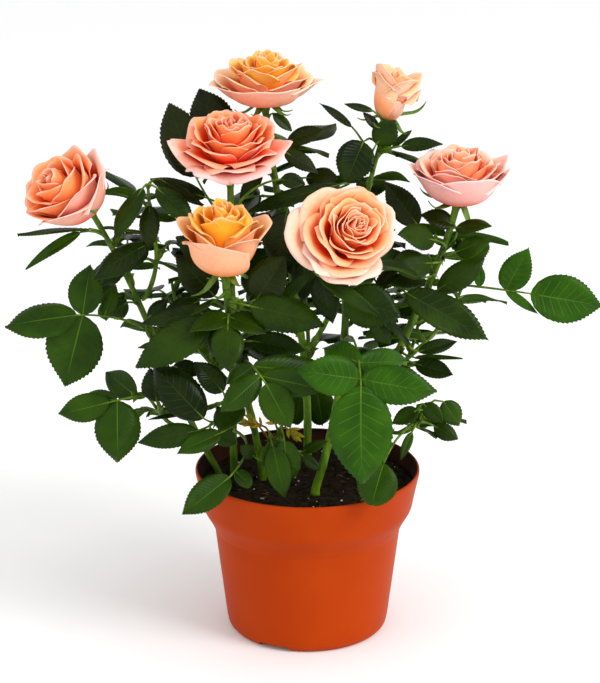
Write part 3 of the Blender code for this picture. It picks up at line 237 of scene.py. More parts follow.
# sRGB tones of the leaves: dark, light, roughness, gloss; the first four run from deep to light green and
# tone_of picks among them partly as painted shade and painted light
LEAF_TONES = {
    "dark": ((0.050, 0.105, 0.002), (0.110, 0.180, 0.004), 0.30, 0.11),
    "dusk": ((0.085, 0.155, 0.002), (0.145, 0.235, 0.004), 0.32, 0.10),
    "green": ((0.110, 0.205, 0.002), (0.175, 0.290, 0.004), 0.34, 0.10),
    "fresh_lit": ((0.118, 0.260, 0.002), (0.180, 0.345, 0.004), 0.38, 0.10),
    "bronze": ((0.085, 0.108, 0.008), (0.135, 0.178, 0.012), 0.30, 0.12),
    "young": ((0.560, 0.600, 0.110), (0.780, 0.560, 0.180), 0.40, 0.10),
}
TONE_NAMES = list(LEAF_TONES)
# material slots of a piece of leaves after its tones
VEIN_DARK, VEIN_FRESH_LIT, UNDERSIDE = (len(LEAF_TONES) + i for i in range(3))
# young shoots: the mass they grow in, the share of its stem where they leave it, and their tip, mm
SPROUTS = (("low_front", 0.30, (-33, -31, 127)), ("low_front", 0.45, (-27, -28, 125)),
           ("low_front", 0.75, (-18, -26, 125)), ("low_front", 0.9, (-9, -30, 121)))


def leaf(at, base, tip, wide, face=FRONT, pairs=(), count=1):
    """One compound leaf, in metres; count is the number of leaflets when no pairs are given."""
    sides = [(back * MM, [(Vector(one[:3]) * MM, one[3] * MM) for one in both if one])
             for back, *both in pairs]
    return dict(at=at, base=Vector(base) * MM, tip=Vector(tip) * MM, wide=wide * MM, sides=sides,
                face=Vector(face).normalized(), count=count)


# Leaves placed one by one, all in mm: share of the stem's length where the leaf stands, base and tip of
# its end leaflet, width of that leaflet, the way its upper side faces, and pairs of side leaflets (how
# far behind the base they stand, then the tip and width of each)
LEAVES = {
    "centre": (
        (0.35, (26, -80, 163), (26, -90, 113), 32, (0, -0.97, 0.25),
         ((3.5, (-4, -94, 178, 20), (63, -92, 166, 20)), (13, (53, -60, 178, 14), (5, -54, 184, 15)))),
        (0.88, (5, -54, 212), (37, -64, 194), 8, (-0.3, -0.6, 0.7)),
        (0.72, (18, -48, 198), (46, -54, 192), 23, (0, -0.9, 0.4)),
        (0.96, (6, -41, 210), (12, -45, 183), 14, (0, -0.9, 0.4)),
        (0.5, (33, -30, 182), (43, -30, 168), 11)),
    "front_left": (
        (0.76, (-50, -48, 186), (-87, -60, 167), 21, (-0.2, -0.8, 0.6)),
        (0.8, (-48, -40, 189), (-84, -46, 186), 13, (-0.1, -0.7, 0.7)),
        (0.73, (-42, -42, 182), (-48, -48, 168), 15, (-0.2, -0.9, 0.4)),
        (0.47, (-21, -68, 160), (-9, -80, 141), 17, (0, -0.95, 0.3),
         ((3.5, (5, -82, 167, 14), (-45, -80, 154, 14)), (13, (6, -50, 178, 15), (-51, -44, 163, 11)))),
        (0.92, (-29, -50, 195), (8, -60, 190), 20, (0, -0.85, 0.5)),
        (0.95, (-26, -42, 196), (-12, -48, 220), 20, (-0.2, -0.95, 0.2)),
        (0.92, (-20, -52, 191), (0, -58, 210), 7, (-0.2, -0.8, 0.6)),
        (0.98, (-47, -44, 196), (-59, -52, 192), 4, (0, -0.5, 0.86)),
        (0.61, (-29, -40, 173), (-4, -52, 171), 13)),
    "right": (
        (0.61, (115, -15, 191), (152, -20, 186), 25, (0, -0.9, 0.42),
         ((13, (112, -22, 216, 16), (118, -22, 183, 5)), (27, (88, -10, 206, 6), None))),
        (0.51, (50, -30, 196), (92, -44, 176), 20, (0.1, -0.8, 0.6)),
        (0.61, (67, -12, 192), (91, -12, 209), 14, (0.1, -0.8, 0.6)),
        (0.86, (57, -2, 224), (40, 2, 246), 15, (-0.2, -0.9, 0.4)),
        (0.9, (76, -10, 225), (92, -22, 231), 11, (0.1, -0.6, 0.8)),
        (0.78, (76, -14, 213), (90, -26, 223), 12, (0.2, -0.8, 0.6)),
        (0.83, (65, -20, 221), (47, -34, 229), 14, (-0.1, -0.8, 0.6)),
        (0.76, (63, -24, 210), (44, -38, 214), 17, (-0.1, -0.9, 0.5)),
        (0.67, (60, -20, 201), (41, -34, 202), 11, (-0.1, -0.7, 0.7)),
        (0.17, (56, -8, 154), (81, -12, 156), 5, (0, -0.3, 1)),
        (0.23, (59, 8, 152), (80, 12, 157), 8, (0, -0.7, 0.7)),
        (0.14, (56, -18, 154), (75, -26, 151), 11, (0, -0.8, 0.6)),
        (0.3, (62, 6, 171), (82, 10, 180), 14, (0, -0.8, 0.6))),
    "left": (
        (0.27, (-119, -20, 181), (-156, -26, 178), 19, FRONT,
         ((3, (-126, -26, 144, 30), (-112, -14, 207, 18)), (15, (-96, -12, 197, 8), None))),
        (0.8, (-119, -6, 222), (-149, -10, 206), 7, (0.2, -0.5, 0.8)),
        (0.43, (-95, 6, 180), (-108, 10, 171), 12),
        (0.57, (-100, 8, 202), (-119, 14, 179), 14, (0, -0.9, 0.3))),
    "left_side": (
        (0.53, (-82, -16, 218), (-110, -30, 206), 16, (-0.2, -0.7, 0.7)),
        (0.99, (-84, -14, 247), (-102, -24, 224), 13, (-0.5, -0.7, 0.5)),
        (0.99, (-77, -14, 247), (-57, -24, 232), 13, (0.2, -0.7, 0.7)),
        (0.84, (-81, -12, 236), (-82, -18, 214), 11, (-0.3, -0.9, 0.3)),
        (0.99, (-76, 4, 247), (-53, 6, 234), 10, (0.1, -0.5, 0.86)),
        (0.32, (-98, 4, 203), (-110, 8, 186), 11, (0, -0.9, 0.4))),
    "upper_left": (
        (0.84, (-45, 38, 256), (-57, 44, 287), 24, (0, -1, 0.2)),
        (0.8, (-59, 30, 242), (-74, 38, 280), 25, (-0.2, -1, 0.2)),
        (0.88, (-54, 8, 236), (-83, 8, 246), 11, (0, -0.6, 0.8)),
        (0.6, (-47, -10, 206), (-66, -14, 222), 14, (0, -0.8, 0.6)),
        (0.53, (-48, -14, 189), (-66, -24, 213), 18, (-0.2, -0.9, 0.4)),
        (0.23, (-56, -14, 187), (-77, -24, 181), 13, (-0.1, -0.7, 0.7))),
    "top": (
        (0.99, (-11, 26, 262), (8, 22, 270), 10, (0, -0.8, 0.6)),
        (0.88, (-12, 16, 259), (6, 10, 250), 10, (0, -0.6, 0.8)),
        (0.77, (-24, 22, 246), (-36, 20, 233), 8, (0, -0.8, 0.6)),
        (0.68, (-1, 20, 244), (15, 12, 247), 12, (0, -0.7, 0.7)),
        (0.54, (17, 2, 245), (-33, -12, 236), 11, (0, -0.5, 0.86)),
        (0.48, (-11, -6, 232), (-16, -20, 207), 21, (0, -0.9, 0.4)),
        (0.34, (-20, 0, 230), (-35, -4, 211), 14, (-0.2, -0.8, 0.5)),
        (0.22, (-2, 0, 210), (-1, -14, 187), 14, (0.1, -0.9, 0.3))),
    "bud": (
        (0.77, (23, 26, 270), (7, 28, 283), 5, (0, -0.6, 0.8)),
        (0.75, (34, 16, 264), (43, 16, 277), 14, (0.2, -0.9, 0.3)),
        (0.94, (28, 18, 264), (17, 8, 244), 20, (-0.1, -0.95, 0.2)),
        (0.9, (48, 18, 261), (69, 14, 264), 8, (0, -0.8, 0.6), ((5, (54, 22, 269, 4), None),))),
    "low_left": (
        (0.99, (-102, -36, 139), (-128, -42, 134), 15, (0, -0.95, 0.3),
         ((4, (-95, -56, 114, 24), (-118, -30, 140, 10)), (15, (-102, -14, 150, 14), None))),
        (0.7, (-78, -30, 137), (-81, -34, 155), 13, (0, -0.9, 0.4))),
    "low_front_left": (
        (0.94, (-53, -50, 135), (-79, -46, 162), 21, (0, -0.95, 0.3)),
        (0.88, (-56, -54, 130), (-86, -60, 127), 13, (0, -0.8, 0.6)),
        (0.6, (-44, -54, 129), (-66, -66, 123), 11, (0, -0.8, 0.6)),
        (0.99, (-66, -36, 132), (-82, -40, 132), 3, (0, -0.4, 0.9)),
        (0.05, (-40, -52, 104), (-64, -66, 89), 16, (0, -0.9, 0.45), ((2.5, (-28, -58, 104, 8), None),)),
        (0.99, (-42, -40, 146), (-55, -44, 163), 13, (0, -0.9, 0.4))),
    "low_front": (
        (0.24, (-18, -44, 118), (-12, -56, 94), 13, (0, -0.95, 0.35),
         ((4, (-4, -48, 107, 7), (-22, -44, 106, 6)),)),
        (0.15, (-27, -40, 110), (-33, -44, 118), 8, (0, -0.8, 0.6)),
        (0.66, (-3, -26, 108), (10, -28, 115), 6, (0, -0.7, 0.7)),
        (0.24, (-4, -34, 110), (6, -38, 103), 6, (0, -0.8, 0.6))),
    "low_right": (
        (0.99, (71, -18, 133), (80, -22, 121), 12, (0, -0.95, 0.3)),
        (0.99, (66, -22, 121), (78, -28, 116), 9, (0, -0.9, 0.4)),
        (0.99, (60, -27, 135), (70, -33, 127), 9, (0, -0.9, 0.4)),
        (0.99, (60, -30, 134), (47, -36, 129), 9, (0, -0.8, 0.6)),
        (0.99, (54, -34, 122), (48, -46, 112), 5, (0, -0.8, 0.6)),
        (0.95, (43, -58, 113), (38, -70, 95), 21, (0, -0.97, 0.25))),
}
# leaves on the finest twigs that only the finished mass carries
MORE = {
    "back": ((0.05, (5, 50, 118), (9, 50, 94), 17), (0.02, (-3, 44, 118), (-7, 44, 97), 11)),
    "right": ((0.82, (76, 0, 224), (59, -2, 231), 11, (0, -0.8, 0.6)),),
    "upper_left": ((0.85, (-14, 4, 247), (-1, 4, 245), 9),),
    "left": (
        (0.93, (-113, -5, 223), (-150, -6, 223), 13, (0, 0.12, 0.99)),
        (0.2, (-84, 0, 173), (-74, 0, 184), 8)),
    "centre": ((0.7, (46, -20, 204), (34, -22, 196), 9),),
    "low_left": ((0.45, (-70, -20, 153), (-55, -22, 151), 10),),
    "top": ((0.97, (-18, 26, 277), (-8, 24, 268), 6),),
    "bud": ((0.97, (37, 20, 270), (29, 19, 279), 5), (0.99, (34, 18, 280), (19, 17, 284), 4)),
    "low_front_left": ((0.55, (-48, -35, 122), (-37, -37, 117), 10),),
    "low_front": ((0.55, (-12, -45, 121), (-10, -47, 99), 15),),
}
# Leaves laid by rule round each stem: how many, the first and last bearing (degrees, 0 is +X, 90 is
# the back), reach from the stem and end leaflet, mm
FILL = {
    "left": (4, (50, 130), 56, 30), "left_side": (2, (40, 110), 46, 28),
    "upper_left": (4, (50, 140), 56, 32), "front_left": (3, (200, 330), 42, 26),
    "centre": (4, (-70, 60), 50, 32), "right": (4, (50, 130), 56, 33), "top": (8, (30, 250), 50, 32),
    "bud": (4, (30, 130), 46, 28), "low_left": (1, (100, 140), 44, 28), "low_right": (1, (0, 30), 36, 22),
    "right_side": (5, (70, 150), 48, 31), "back_left": (7, (60, 150), 56, 34),
    "back": (7, (20, 160), 58, 35), "back_right": (7, (50, 140), 54, 34),
}


# ---- centrelines
class Path:
    """A smooth centreline, sampled finely enough to be read by length."""

    def __init__(self, points):
        self.points = [Vector(p) for p in points]
        steps = ((b - a).length for a, b in zip(self.points, self.points[1:]))
        self.marks = [0.0, *itertools.accumulate(steps)]
        self.length = self.marks[-1]

    def point(self, distance):
        distance = min(max(distance, 0.0), self.length)
        i = min(bisect.bisect_left(self.marks, distance, 1), len(self.marks) - 1)
        before, after = self.marks[i - 1:i + 1]
        return self.points[i - 1].lerp(self.points[i], (distance - before) / (after - before))

    def tangent(self, distance):
        near = max(distance - 0.5 * MM, 0.0)
        far = min(distance + 0.5 * MM, self.length)
        return (self.point(far) - self.point(near)).normalized()


def cubic(start, heel, end, neck, samples=48):
    """Points of a curve that leaves along heel and arrives along neck."""
    reach = (end - start).length * 0.38
    a, b = start + heel.normalized() * reach, end - neck.normalized() * reach
    curve = []
    for i in range(samples + 1):
        t = i / samples
        s = 1 - t
        curve.append(start * s ** 3 + a * (3 * s * s * t) + b * (3 * s * t * t) + end * t ** 3)
    return curve


def limb_path(limb, limbs):
    """From the soil, or from the side of another limb, to the limb's end."""
    top, heel, neck = Vector(limb["top"]) * MM, Vector(limb["heel"]), Vector(limb["neck"])
    if limb["root"][0] in limbs:
        trunk, share = limbs[limb["root"][0]], limb["root"][1]
        at = share * trunk["path"].length
        along = trunk["path"].tangent(at)
        out = (heel - along * heel.dot(along)).normalized()
        start = trunk["path"].point(at) + out * (radius_at(trunk, share) + GAP)
    else:
        x, y = limb["root"]
        start, out = Vector((x * MM, y * MM, SOIL_TOP + GAP)), UP
    return Path([start] + cubic(start + out * FOOT, heel, top, neck))


def radius_at(limb, share):
    return (limb["thick"][0] + (limb["thick"][1] - limb["thick"][0]) * share) * MM


# ---- meshes from grids
# size of the cap that closes a tube, as a share of its last ring
CAP = 0.02


class Sheets:
    """Gathers many grids of points into one mesh, each with a material and a tint."""

    def __init__(self):
        self.points, self.quads, self.slots, self.smooth, self.tints = [], [], [], [], []
        self.count = 0

    def add(self, points, quads, slot, tint=None):
        """Points and the smooth faces between them; gives the first point's number."""
        points = np.reshape(points, (-1, 3))
        first, self.count = self.count, self.count + len(points)
        self.points.append(points)
        self.tints.append(np.zeros((len(points), 3)) if tint is None else np.reshape(tint, (-1, 3)))
        self.link(quads + first, slot, True)
        return first

    def link(self, quads, slot, smooth=False):
        """Faces between points that are already there."""
        self.quads.append(quads)
        self.slots.append(np.broadcast_to(slot, len(quads)))
        self.smooth.append(np.full(len(quads), smooth))

    def slab(self, top, under, slots=0, under_slot=0, tint=None, under_tint=None):
        """A closed thin sheet: an upper and a lower grid joined by a narrow rim."""
        spots = np.arange(top.shape[0] * top.shape[1]).reshape(top.shape[:2])
        quads = np.stack([spots[:-1, :-1], spots[:-1, 1:], spots[1:, 1:], spots[1:, :-1]], -1).reshape(-1, 4)
        upper = self.add(top, quads, slots, tint)
        lower = self.add(under, quads[:, ::-1], under_slot, under_tint)
        ring = np.concatenate([spots[0, :-1], spots[:-1, -1], spots[-1, :0:-1], spots[:0:-1, 0]])
        after = np.roll(ring, -1)
        self.link(np.stack([after + upper, ring + upper, ring + lower, after + lower], 1), under_slot)

    def loft(self, rings, slot=0):
        """A closed body through rings of points, its ends drawn together to small caps."""
        rings = np.array(rings, float)
        middle = rings.mean(axis=1, keepdims=True)
        small = middle + (rings - middle) * CAP
        rings = np.concatenate([small[:1], rings, small[-1:]])
        count, sides = rings.shape[:2]
        base = np.arange(count * sides).reshape(count, sides)
        after = np.roll(base, -1, axis=1)
        quads = np.stack([base[:-1], after[:-1], after[1:], base[1:]], -1).reshape(-1, 4)
        first = self.add(rings, quads, slot)
        cap = np.array([(k, k + 1, sides - 2 - k, sides - 1 - k) for k in range(sides // 2 - 1)])
        self.link(np.concatenate([cap[:, ::-1] + first, cap + first + (count - 1) * sides]), slot)

    def tube(self, points, radii, slot=0, sides=6):
        """A round closed tube along a line of points."""
        points = [Vector(p) for p in points]
        ways = [(after - before).normalized()
                for before, after in zip(points[:1] + points, points[1:] + points[-1:])]
        side = ways[0].orthogonal().normalized()
        rings = []
        for point, way, radius in zip(points, ways, radii):
            side = (side - way * side.dot(way)).normalized()
            rings.append([point + out * radius for _, out in round_ways(side, way, sides)])
        self.loft(rings, slot)

    def piece(self, name, materials, slot, node):
        """The gathered mesh as one piece that stands for a CAD node."""
        points, quads = np.concatenate(self.points), np.concatenate(self.quads)
        mesh = bpy.data.meshes.new(name)
        mesh.vertices.add(len(points))
        mesh.vertices.foreach_set("co", points.ravel())
        mesh.loops.add(quads.size)
        mesh.loops.foreach_set("vertex_index", quads.ravel())
        mesh.polygons.add(len(quads))
        mesh.polygons.foreach_set("loop_start", np.arange(0, quads.size, 4))
        for material in materials:
            mesh.materials.append(material)
        mesh.polygons.foreach_set("material_index", np.concatenate(self.slots))
        mesh.update(calc_edges=True)
        mesh.polygons.foreach_set("use_smooth", np.concatenate(self.smooth))
        tints = np.concatenate(self.tints)
        if tints.any():
            layer = mesh.color_attributes.new("tint", "FLOAT_COLOR", "POINT")
            layer.data.foreach_set("color", np.c_[tints, np.ones(len(tints))].ravel())
        item = placed(name, mesh)
        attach(item, "root")
        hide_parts(node)
        return item


def placed(name, data):
    item = bpy.data.objects.new(name, data)
    bpy.context.scene.collection.objects.link(item)
    return item


def round_ways(side, way, sides):
    """Angles round a line and the directions out from it."""
    other = way.cross(side)
    for k in range(sides):
        angle = math.tau * k / sides
        yield angle, side * math.cos(angle) + other * math.sin(angle)


# ---- materials
def srgb(colour):
    """Linear values of an sRGB colour."""
    return tuple(c / 12.92 if c <= 0.04045 else ((c + 0.055) / 1.055) ** 2.4 for c in colour)


class Look:
    """A Principled material, and short ways to wire patterns into it."""

    def __init__(self, name, colour, roughness, gloss=0.5):
        self.material = bpy.data.materials.new(name)
        self.material.use_nodes = True
        self.tree = self.material.node_tree
        self.shader = self.tree.nodes["Principled BSDF"]
        self.wire(self.shader, {"Base Color": (*srgb(colour), 1), "Roughness": roughness,
                                "Specular IOR Level": gloss})

    def wire(self, node, inputs):
        for name, value in inputs.items():
            if isinstance(value, bpy.types.NodeSocket):
                self.tree.links.new(value, node.inputs[name])
            else:
                node.inputs[name].default_value = value

    def node(self, kind, output, inputs):
        """A new node of a kind, wired up; gives the named output."""
        node = self.tree.nodes.new("ShaderNode" + kind)
        self.wire(node, inputs)
        return node.outputs[output]

    def noise(self, scale, detail, stretch=1.0):
        """Noise in the object's own coordinates, finer along Z by the stretch."""
        coords = self.node("TexCoord", "Object", {})
        if stretch != 1:
            coords = self.node("Mapping", "Vector", {"Vector": coords, "Scale": (1, 1, stretch)})
        return self.node("TexNoise", "Fac", {"Vector": coords, "Scale": scale, "Detail": detail})

    def speckle(self, dark, light, pattern):
        """Colour that wanders between two tones."""
        colour = self.node("ValToRGB", "Color", {"Fac": pattern})
        for element, spot, tone in zip(colour.node.color_ramp.elements, (0.35, 0.65), (dark, light)):
            element.position = spot
            element.color = (*srgb(tone), 1)
        self.wire(self.shader, {"Base Color": colour})

    def bump(self, height, strength, distance):
        normal = self.node("Bump", "Normal", {"Height": height, "Strength": strength, "Distance": distance})
        self.wire(self.shader, {"Normal": normal})


def leaf_material(name, dark, light, roughness, gloss):
    """Waxy leaf: two close greens and fine pits between the veins."""
    look = Look("leaf_" + name, light, roughness, gloss)
    look.speckle(dark, light, look.noise(60.0, 4.0))
    coords = look.node("TexCoord", "Object", {})
    look.bump(look.node("TexVoronoi", "Distance", {"Vector": coords, "Scale": 900.0}), 0.25, 0.12 * MM)
    return look.material


def petal_material():
    """Velvety petal: its tint and fine streaks."""
    look = Look("petal", (0.98, 0.66, 0.5), 0.6, 0.2)
    tint = look.node("Attribute", "Color", {})
    tint.node.attribute_name = "tint"
    streaks = look.noise(420.0, 3.0)
    vary = look.node("MapRange", "Result", {"Value": streaks, "From Min": 0.3, "From Max": 0.7,
                                            "To Min": 0.95, "To Max": 1.03})
    colour = look.node("HueSaturation", "Color", {"Color": tint, "Value": vary})
    look.wire(look.shader, {"Base Color": colour})
    look.bump(streaks, 0.12, 0.2 * MM)
    return look.material


def bark_material(name, dark, light, roughness=0.5):
    look = Look(name, light, roughness, 0.2)
    pattern = look.noise(260.0, 4.0, 0.25)
    look.speckle(dark, light, pattern)
    look.bump(pattern, 0.3, 0.2 * MM)
    return look.material


def pot_material():
    """Satin terracotta-coloured plastic with faint turning marks."""
    look = Look("pot_plastic", (0.67, 0.21, 0.02), 0.45, 0.05)
    look.speckle((0.655, 0.21, 0.010), (0.69, 0.235, 0.016), look.noise(18.0, 4.0))
    look.bump(look.noise(60.0, 3.0, 14.0), 0.12, 0.15 * MM)
    return look.material


def soil_stain_and_painted_shade_material():
    """The pot's inner wall, darker: partly soil stain, partly painted shade where the rim and foliage shadow
    it.
    """
    look = Look("pot_soil_stain_and_painted_shade", (0.30, 0.10, 0.03), 0.7, 0.1)
    look.speckle((0.12, 0.065, 0.035), (0.25, 0.115, 0.05), look.noise(90.0, 4.0))
    return look.material


def soil_material():
    look = Look("soil", (0.13, 0.09, 0.06), 0.95, 0.1)
    pattern = look.noise(300.0, 8.0)
    look.speckle((0.055, 0.04, 0.025), (0.17, 0.125, 0.07), pattern)
    look.bump(pattern, 0.8, 0.8 * MM)
    return look.material


# ---- leaves by rule
def leaf_line(start, base, tip, samples=12):
    """A leaf's midrib: a stalk that arches from the stem to the end leaflet, then that leaflet."""
    stalk, blade = base - start, tip - base
    arrive = (blade.normalized() + stalk.normalized() * 0.5).normalized()
    bend = base - arrive * stalk.length * 0.5
    line = [start * (1 - t) ** 2 + bend * (2 * t * (1 - t)) + base * t * t
            for t in (i / samples for i in range(samples + 1))]
    return Path(line), Path(line + [tip])


def across_of(along, face):
    """Sideways and upward directions of a leaf whose midrib runs along, turned to a given face."""
    normal = face - along * face.dot(along)
    if normal.length < 0.1:
        normal = UP - along * along.z + Vector((0, -0.01, 0))
    normal.normalize()
    return along.cross(normal), normal


def carried(side, along):
    """The same two directions carried to the next stretch of a midrib without twisting it."""
    side = (side - along * side.dot(along)).normalized()
    return side, side.cross(along)


def leaflet(root, out, face, length, wide=0.0):
    """A leaflet's foot, its direction, the way it faces, its length and its width."""
    return root, out, across_of(out, face)[1], length, wide or length * LEAFLET_WIDTH


def leaf_layouts(one, start):
    """Every way the rule may lay out one compound leaf, its first choice first."""
    stalk, path = leaf_line(start, one["base"], one["tip"])
    root, face = stalk.length, one["face"]
    reach = one["tip"] - one["base"]
    blade, tip_way = reach.length, reach.normalized()
    side, normal = across_of(tip_way, face)
    for space, wider, sink, step in PAIR_LAYOUTS:
        leaflets = [(one["base"], tip_way, normal, blade, one["wide"])]
        across = side
        for pair in range((one["count"] - 1) // 2):
            at = root - blade * (space + PAIR_SPACING * pair)
            way = stalk.tangent(at)
            across, upper = carried(across, way)
            angle = math.radians(SPLAY[pair] + wider)
            for hand in (-1, 1) if at > 5 * MM else ():
                out = way * math.cos(angle) + across * hand * math.sin(angle)
                out -= upper * (sink + step * pair)
                leaflets.append(leaflet(stalk.point(at), out.normalized(), face, blade * PAIR_SIZE[pair]))
        for pair, (back, tips) in enumerate(one["sides"]):
            at = max(root - back - blade * (space - 0.26), 2 * MM)
            knot = stalk.point(at)
            across, upper = carried(across, stalk.tangent(at))
            for tip, wide in tips:
                out = tip - knot - upper * (sink - 0.14 + step * pair) * (tip - knot).length
                leaflets.append(leaflet(knot, out.normalized(), face, out.length, wide))
        yield dict(path=path, root=root, side=side, leaflets=leaflets)


def turned(one, start, turn):
    """The same leaf turned about the stem by a bearing and a rise."""
    bearing, rise = math.radians(turn[0]), math.radians(turn[1])
    reach = one["tip"] - start
    axis = Vector((reach.x, reach.y, 0)).cross(UP)
    swing = Matrix.Rotation(bearing, 3, UP) @ Matrix.Rotation(rise, 3, axis)
    sides = [(back, [(start + swing @ (tip - start), wide) for tip, wide in tips])
             for back, tips in one["sides"]]
    return dict(one, base=start + swing @ (one["base"] - start), tip=start + swing @ reach,
                sides=sides)


def fill_leaves(mass, random, count, bearings, reach, blade):
    """Leaves laid round a stem at golden steps between two bearings, each one arching over."""
    for number in range(count):
        at = 0.12 + 0.84 * (number + 0.5) / count
        fraction = (number * 0.618 + 0.3) % 1
        bearing = math.radians(bearings[0] + (bearings[1] - bearings[0]) * fraction)
        rise = math.radians(random.uniform(0, 34))
        droop = rise - math.radians(random.uniform(15, 50))
        long = blade * random.uniform(0.86, 1.08)
        stalk = reach * random.uniform(0.85, 1.12) - long
        flat = Vector((math.cos(bearing), math.sin(bearing), 0))
        base = stem_point(mass, at) / MM + (flat * math.cos(rise) + UP * math.sin(rise)) * stalk
        tip = base + (flat * math.cos(droop) + UP * math.sin(droop)) * long
        yield leaf(at, base, tip, long * LEAFLET_WIDTH, UP + flat * 0.55, count=5)


def stem_point(mass, share):
    """Point of a mass's stem, by the share of its leafy stretch."""
    return mass["path"].point(mass["first"] + (mass["last"] - mass["first"]) * share)


def standing_leaf(one, start, corners):
    """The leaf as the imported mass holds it: all its leaflets end in corners of that mass."""
    fewer = [dict(one, count=count) for count in range(one["count"], 0, -2)]
    fewer += [dict(one, sides=one["sides"][:count]) for count in range(len(one["sides"]))][::-1]
    for smaller, turn in itertools.product(fewer, TURNS):
        for plan in leaf_layouts(turned(smaller, start, turn), start):
            tips = [root + along * length - normal * SAG * length
                    for root, along, normal, length, wide in plan["leaflets"]]
            if all(corners.find(tip)[2] < 0.05 * MM for tip in tips):
                return plan
    return None


def corners_of(node):
    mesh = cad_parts[node].data
    tree = KDTree(len(mesh.vertices))
    for i, vert in enumerate(mesh.vertices):
        tree.insert(vert.co, i)
    tree.balance()
    return tree


# ---- leaf looks
def blade_half(t, blunt):
    """Half the width of a leaflet along its length, as a share of the widest: broad, then pointed."""
    t = np.clip(t, 0.002, 0.998)
    return np.sin(np.pi * t ** (0.94 if blunt else 0.82)) ** (0.52 if blunt else 0.58 + 0.52 * t ** 3)


def leaflet_sheet(sheets, random, spray, tone):
    """A toothed blade, folded along its midrib, its skin quilted between side veins."""
    root, along, normal, length, width = spray
    # rows: each tooth rises steeply, then falls slowly
    teeth = int(min(max(round(length / TOOTH), 7), 19))
    step = np.array([0.0, 0.12, 0.5])
    t = np.concatenate([(tooth + step) / teeth for tooth in range(teeth)] + [[1.0]])[:, None]
    high = (np.arange(len(t)) % 3 < 2)[:, None]
    high[-1] = False
    # outline, its rows slanting forward to the rim like the side veins
    u = BLADE_ACROSS[None, :]
    edge = np.abs(u)
    slant = 0.20 * np.sin(np.pi * np.minimum(t * 0.94 + 0.03, 1)) ** 0.8
    bite = np.where(high, 1.012, 0.972) + random.uniform(-0.010, 0.010, t.shape)
    rim = np.clip(t + slant, 0, 1)
    blunt = root.z + along.z * length < BLUNT_BELOW and length < BLUNT_LENGTH
    half = width / 2 * blade_half(rim, blunt) * np.where(edge == 1, bite, 1.0)
    far = t + slant * edge + np.where((edge == 1) & high, 0.30 / teeth, 0.0)
    far = np.minimum(far, 1.0 - 0.008 * edge)
    out = u * np.maximum(half, 0.08 * MM)
    # lift: the fold, the sag to the tip, the midrib's groove, the quilting, then waves and curls
    lift = random.uniform(0.04, 0.20) * np.abs(out) - SAG * length * far ** 2
    lift -= 0.25 * MM * np.exp(-(u / 0.06) ** 2)
    quilt = np.where(high, 1.0, -0.6) * np.sin(np.pi * np.minimum(edge, 0.94)) ** 0.5
    lift -= min(length * 0.008, 0.20 * MM) * quilt
    wave, phase = random.uniform(1.2, 3.0), random.uniform(0, 6.28)
    lift += 0.045 * width * np.sin(wave * np.pi * t + phase + 1.5 * np.sign(u)) * edge ** 2
    lift -= random.uniform(-0.04, 0.18) * width * edge ** 3
    lift -= random.uniform(-0.02, 0.06) * length * far ** 4
    twist = math.radians(random.uniform(-16, 16)) * t
    out, lift = out * np.cos(twist) - lift * np.sin(twist), out * np.sin(twist) + lift * np.cos(twist)
    top = (np.array(root) + np.array(along) * (far * length)[..., None]
           + np.array(along.cross(normal)) * out[..., None] + np.array(normal) * lift[..., None])
    slots = np.full((len(t) - 1, len(BLADE_ACROSS) - 1), TONE_NAMES.index(tone))
    slots[3::6, 1:-1] = VEIN_FRESH_LIT if tone == "fresh_lit" else VEIN_DARK
    slots[:, len(BLADE_ACROSS) // 2 - 1] = VEIN_FRESH_LIT if tone in ("green", "fresh_lit") else VEIN_DARK
    sheets.slab(top, top - np.array(normal) * LEAF_THICK, slots.ravel(), UNDERSIDE)


def stalk_tubes(sheets, plan):
    """The leaf's stalk, with a short stalk and a midrib under every leaflet and two wings at its foot."""
    path, root = plan["path"], plan["root"]
    count = max(int(root / (4 * MM)), 3)
    marks = [root * i / count for i in range(count + 1)]
    radii = [1.4 * MM] + [0.95 * MM - 0.45 * MM * at / root for at in marks[1:]]
    sheets.tube([path.point(at) for at in marks], radii)
    for base, along, normal, length, wide in plan["leaflets"]:
        line = [base + along * length * share - normal * (depth + SAG * length * sag)
                for share, depth, sag in ((0, 0.3 * MM, 0), (0.3, 0.8 * MM, 0.09), (0.62, 0.8 * MM, 0.384))]
        sheets.tube(line, [0.5 * MM, 0.42 * MM, 0.2 * MM])
    if root > 12 * MM:
        way = path.tangent(2 * MM)
        side = (plan["side"] - way * plan["side"].dot(way)).normalized()
        for wing in (-side, side):
            top = np.array([[path.point(a * MM) + wing * b * MM for b in (0.3, w)]
                            for a, w in ((0, 0.8), (2, 1.8), (4, 2.0), (6, 1.7), (7.5, 2.4), (8.6, 3.2))])
            sheets.slab(top, top + np.array(way.cross(wing)) * 0.25 * MM)


def tone_of(plan, random):
    """Tone of a leaf by a light score: deep green as painted shade inside the bush, lighter greens as
    painted light where a leaf stands out to the side or front and on the right towards the key lamp; lighter
    too low down, varied at random, and bronze up high where the score is low.
    """
    tip = plan["path"].points[-1]
    # painted light and shade: out at the sides and front, and towards the key lamp on the right, leaves take
    # lighter tones; inside the bush, darker ones
    light = max(abs(tip.x) - 80 * MM, 0) / (50 * MM) + max(-tip.y - 55 * MM, 0) / (30 * MM)
    light += max(tip.x, 0) / (160 * MM) + 0.6 * (tip.z < 150 * MM) + 0.8 * (tip.z < BLUNT_BELOW)
    light += random.uniform(-0.5, 0.5)
    if light < 0.1 and tip.z > 190 * MM:
        return "bronze"
    return TONE_NAMES[int(min(max(light * 1.5 + 0.5, 0), 3))]


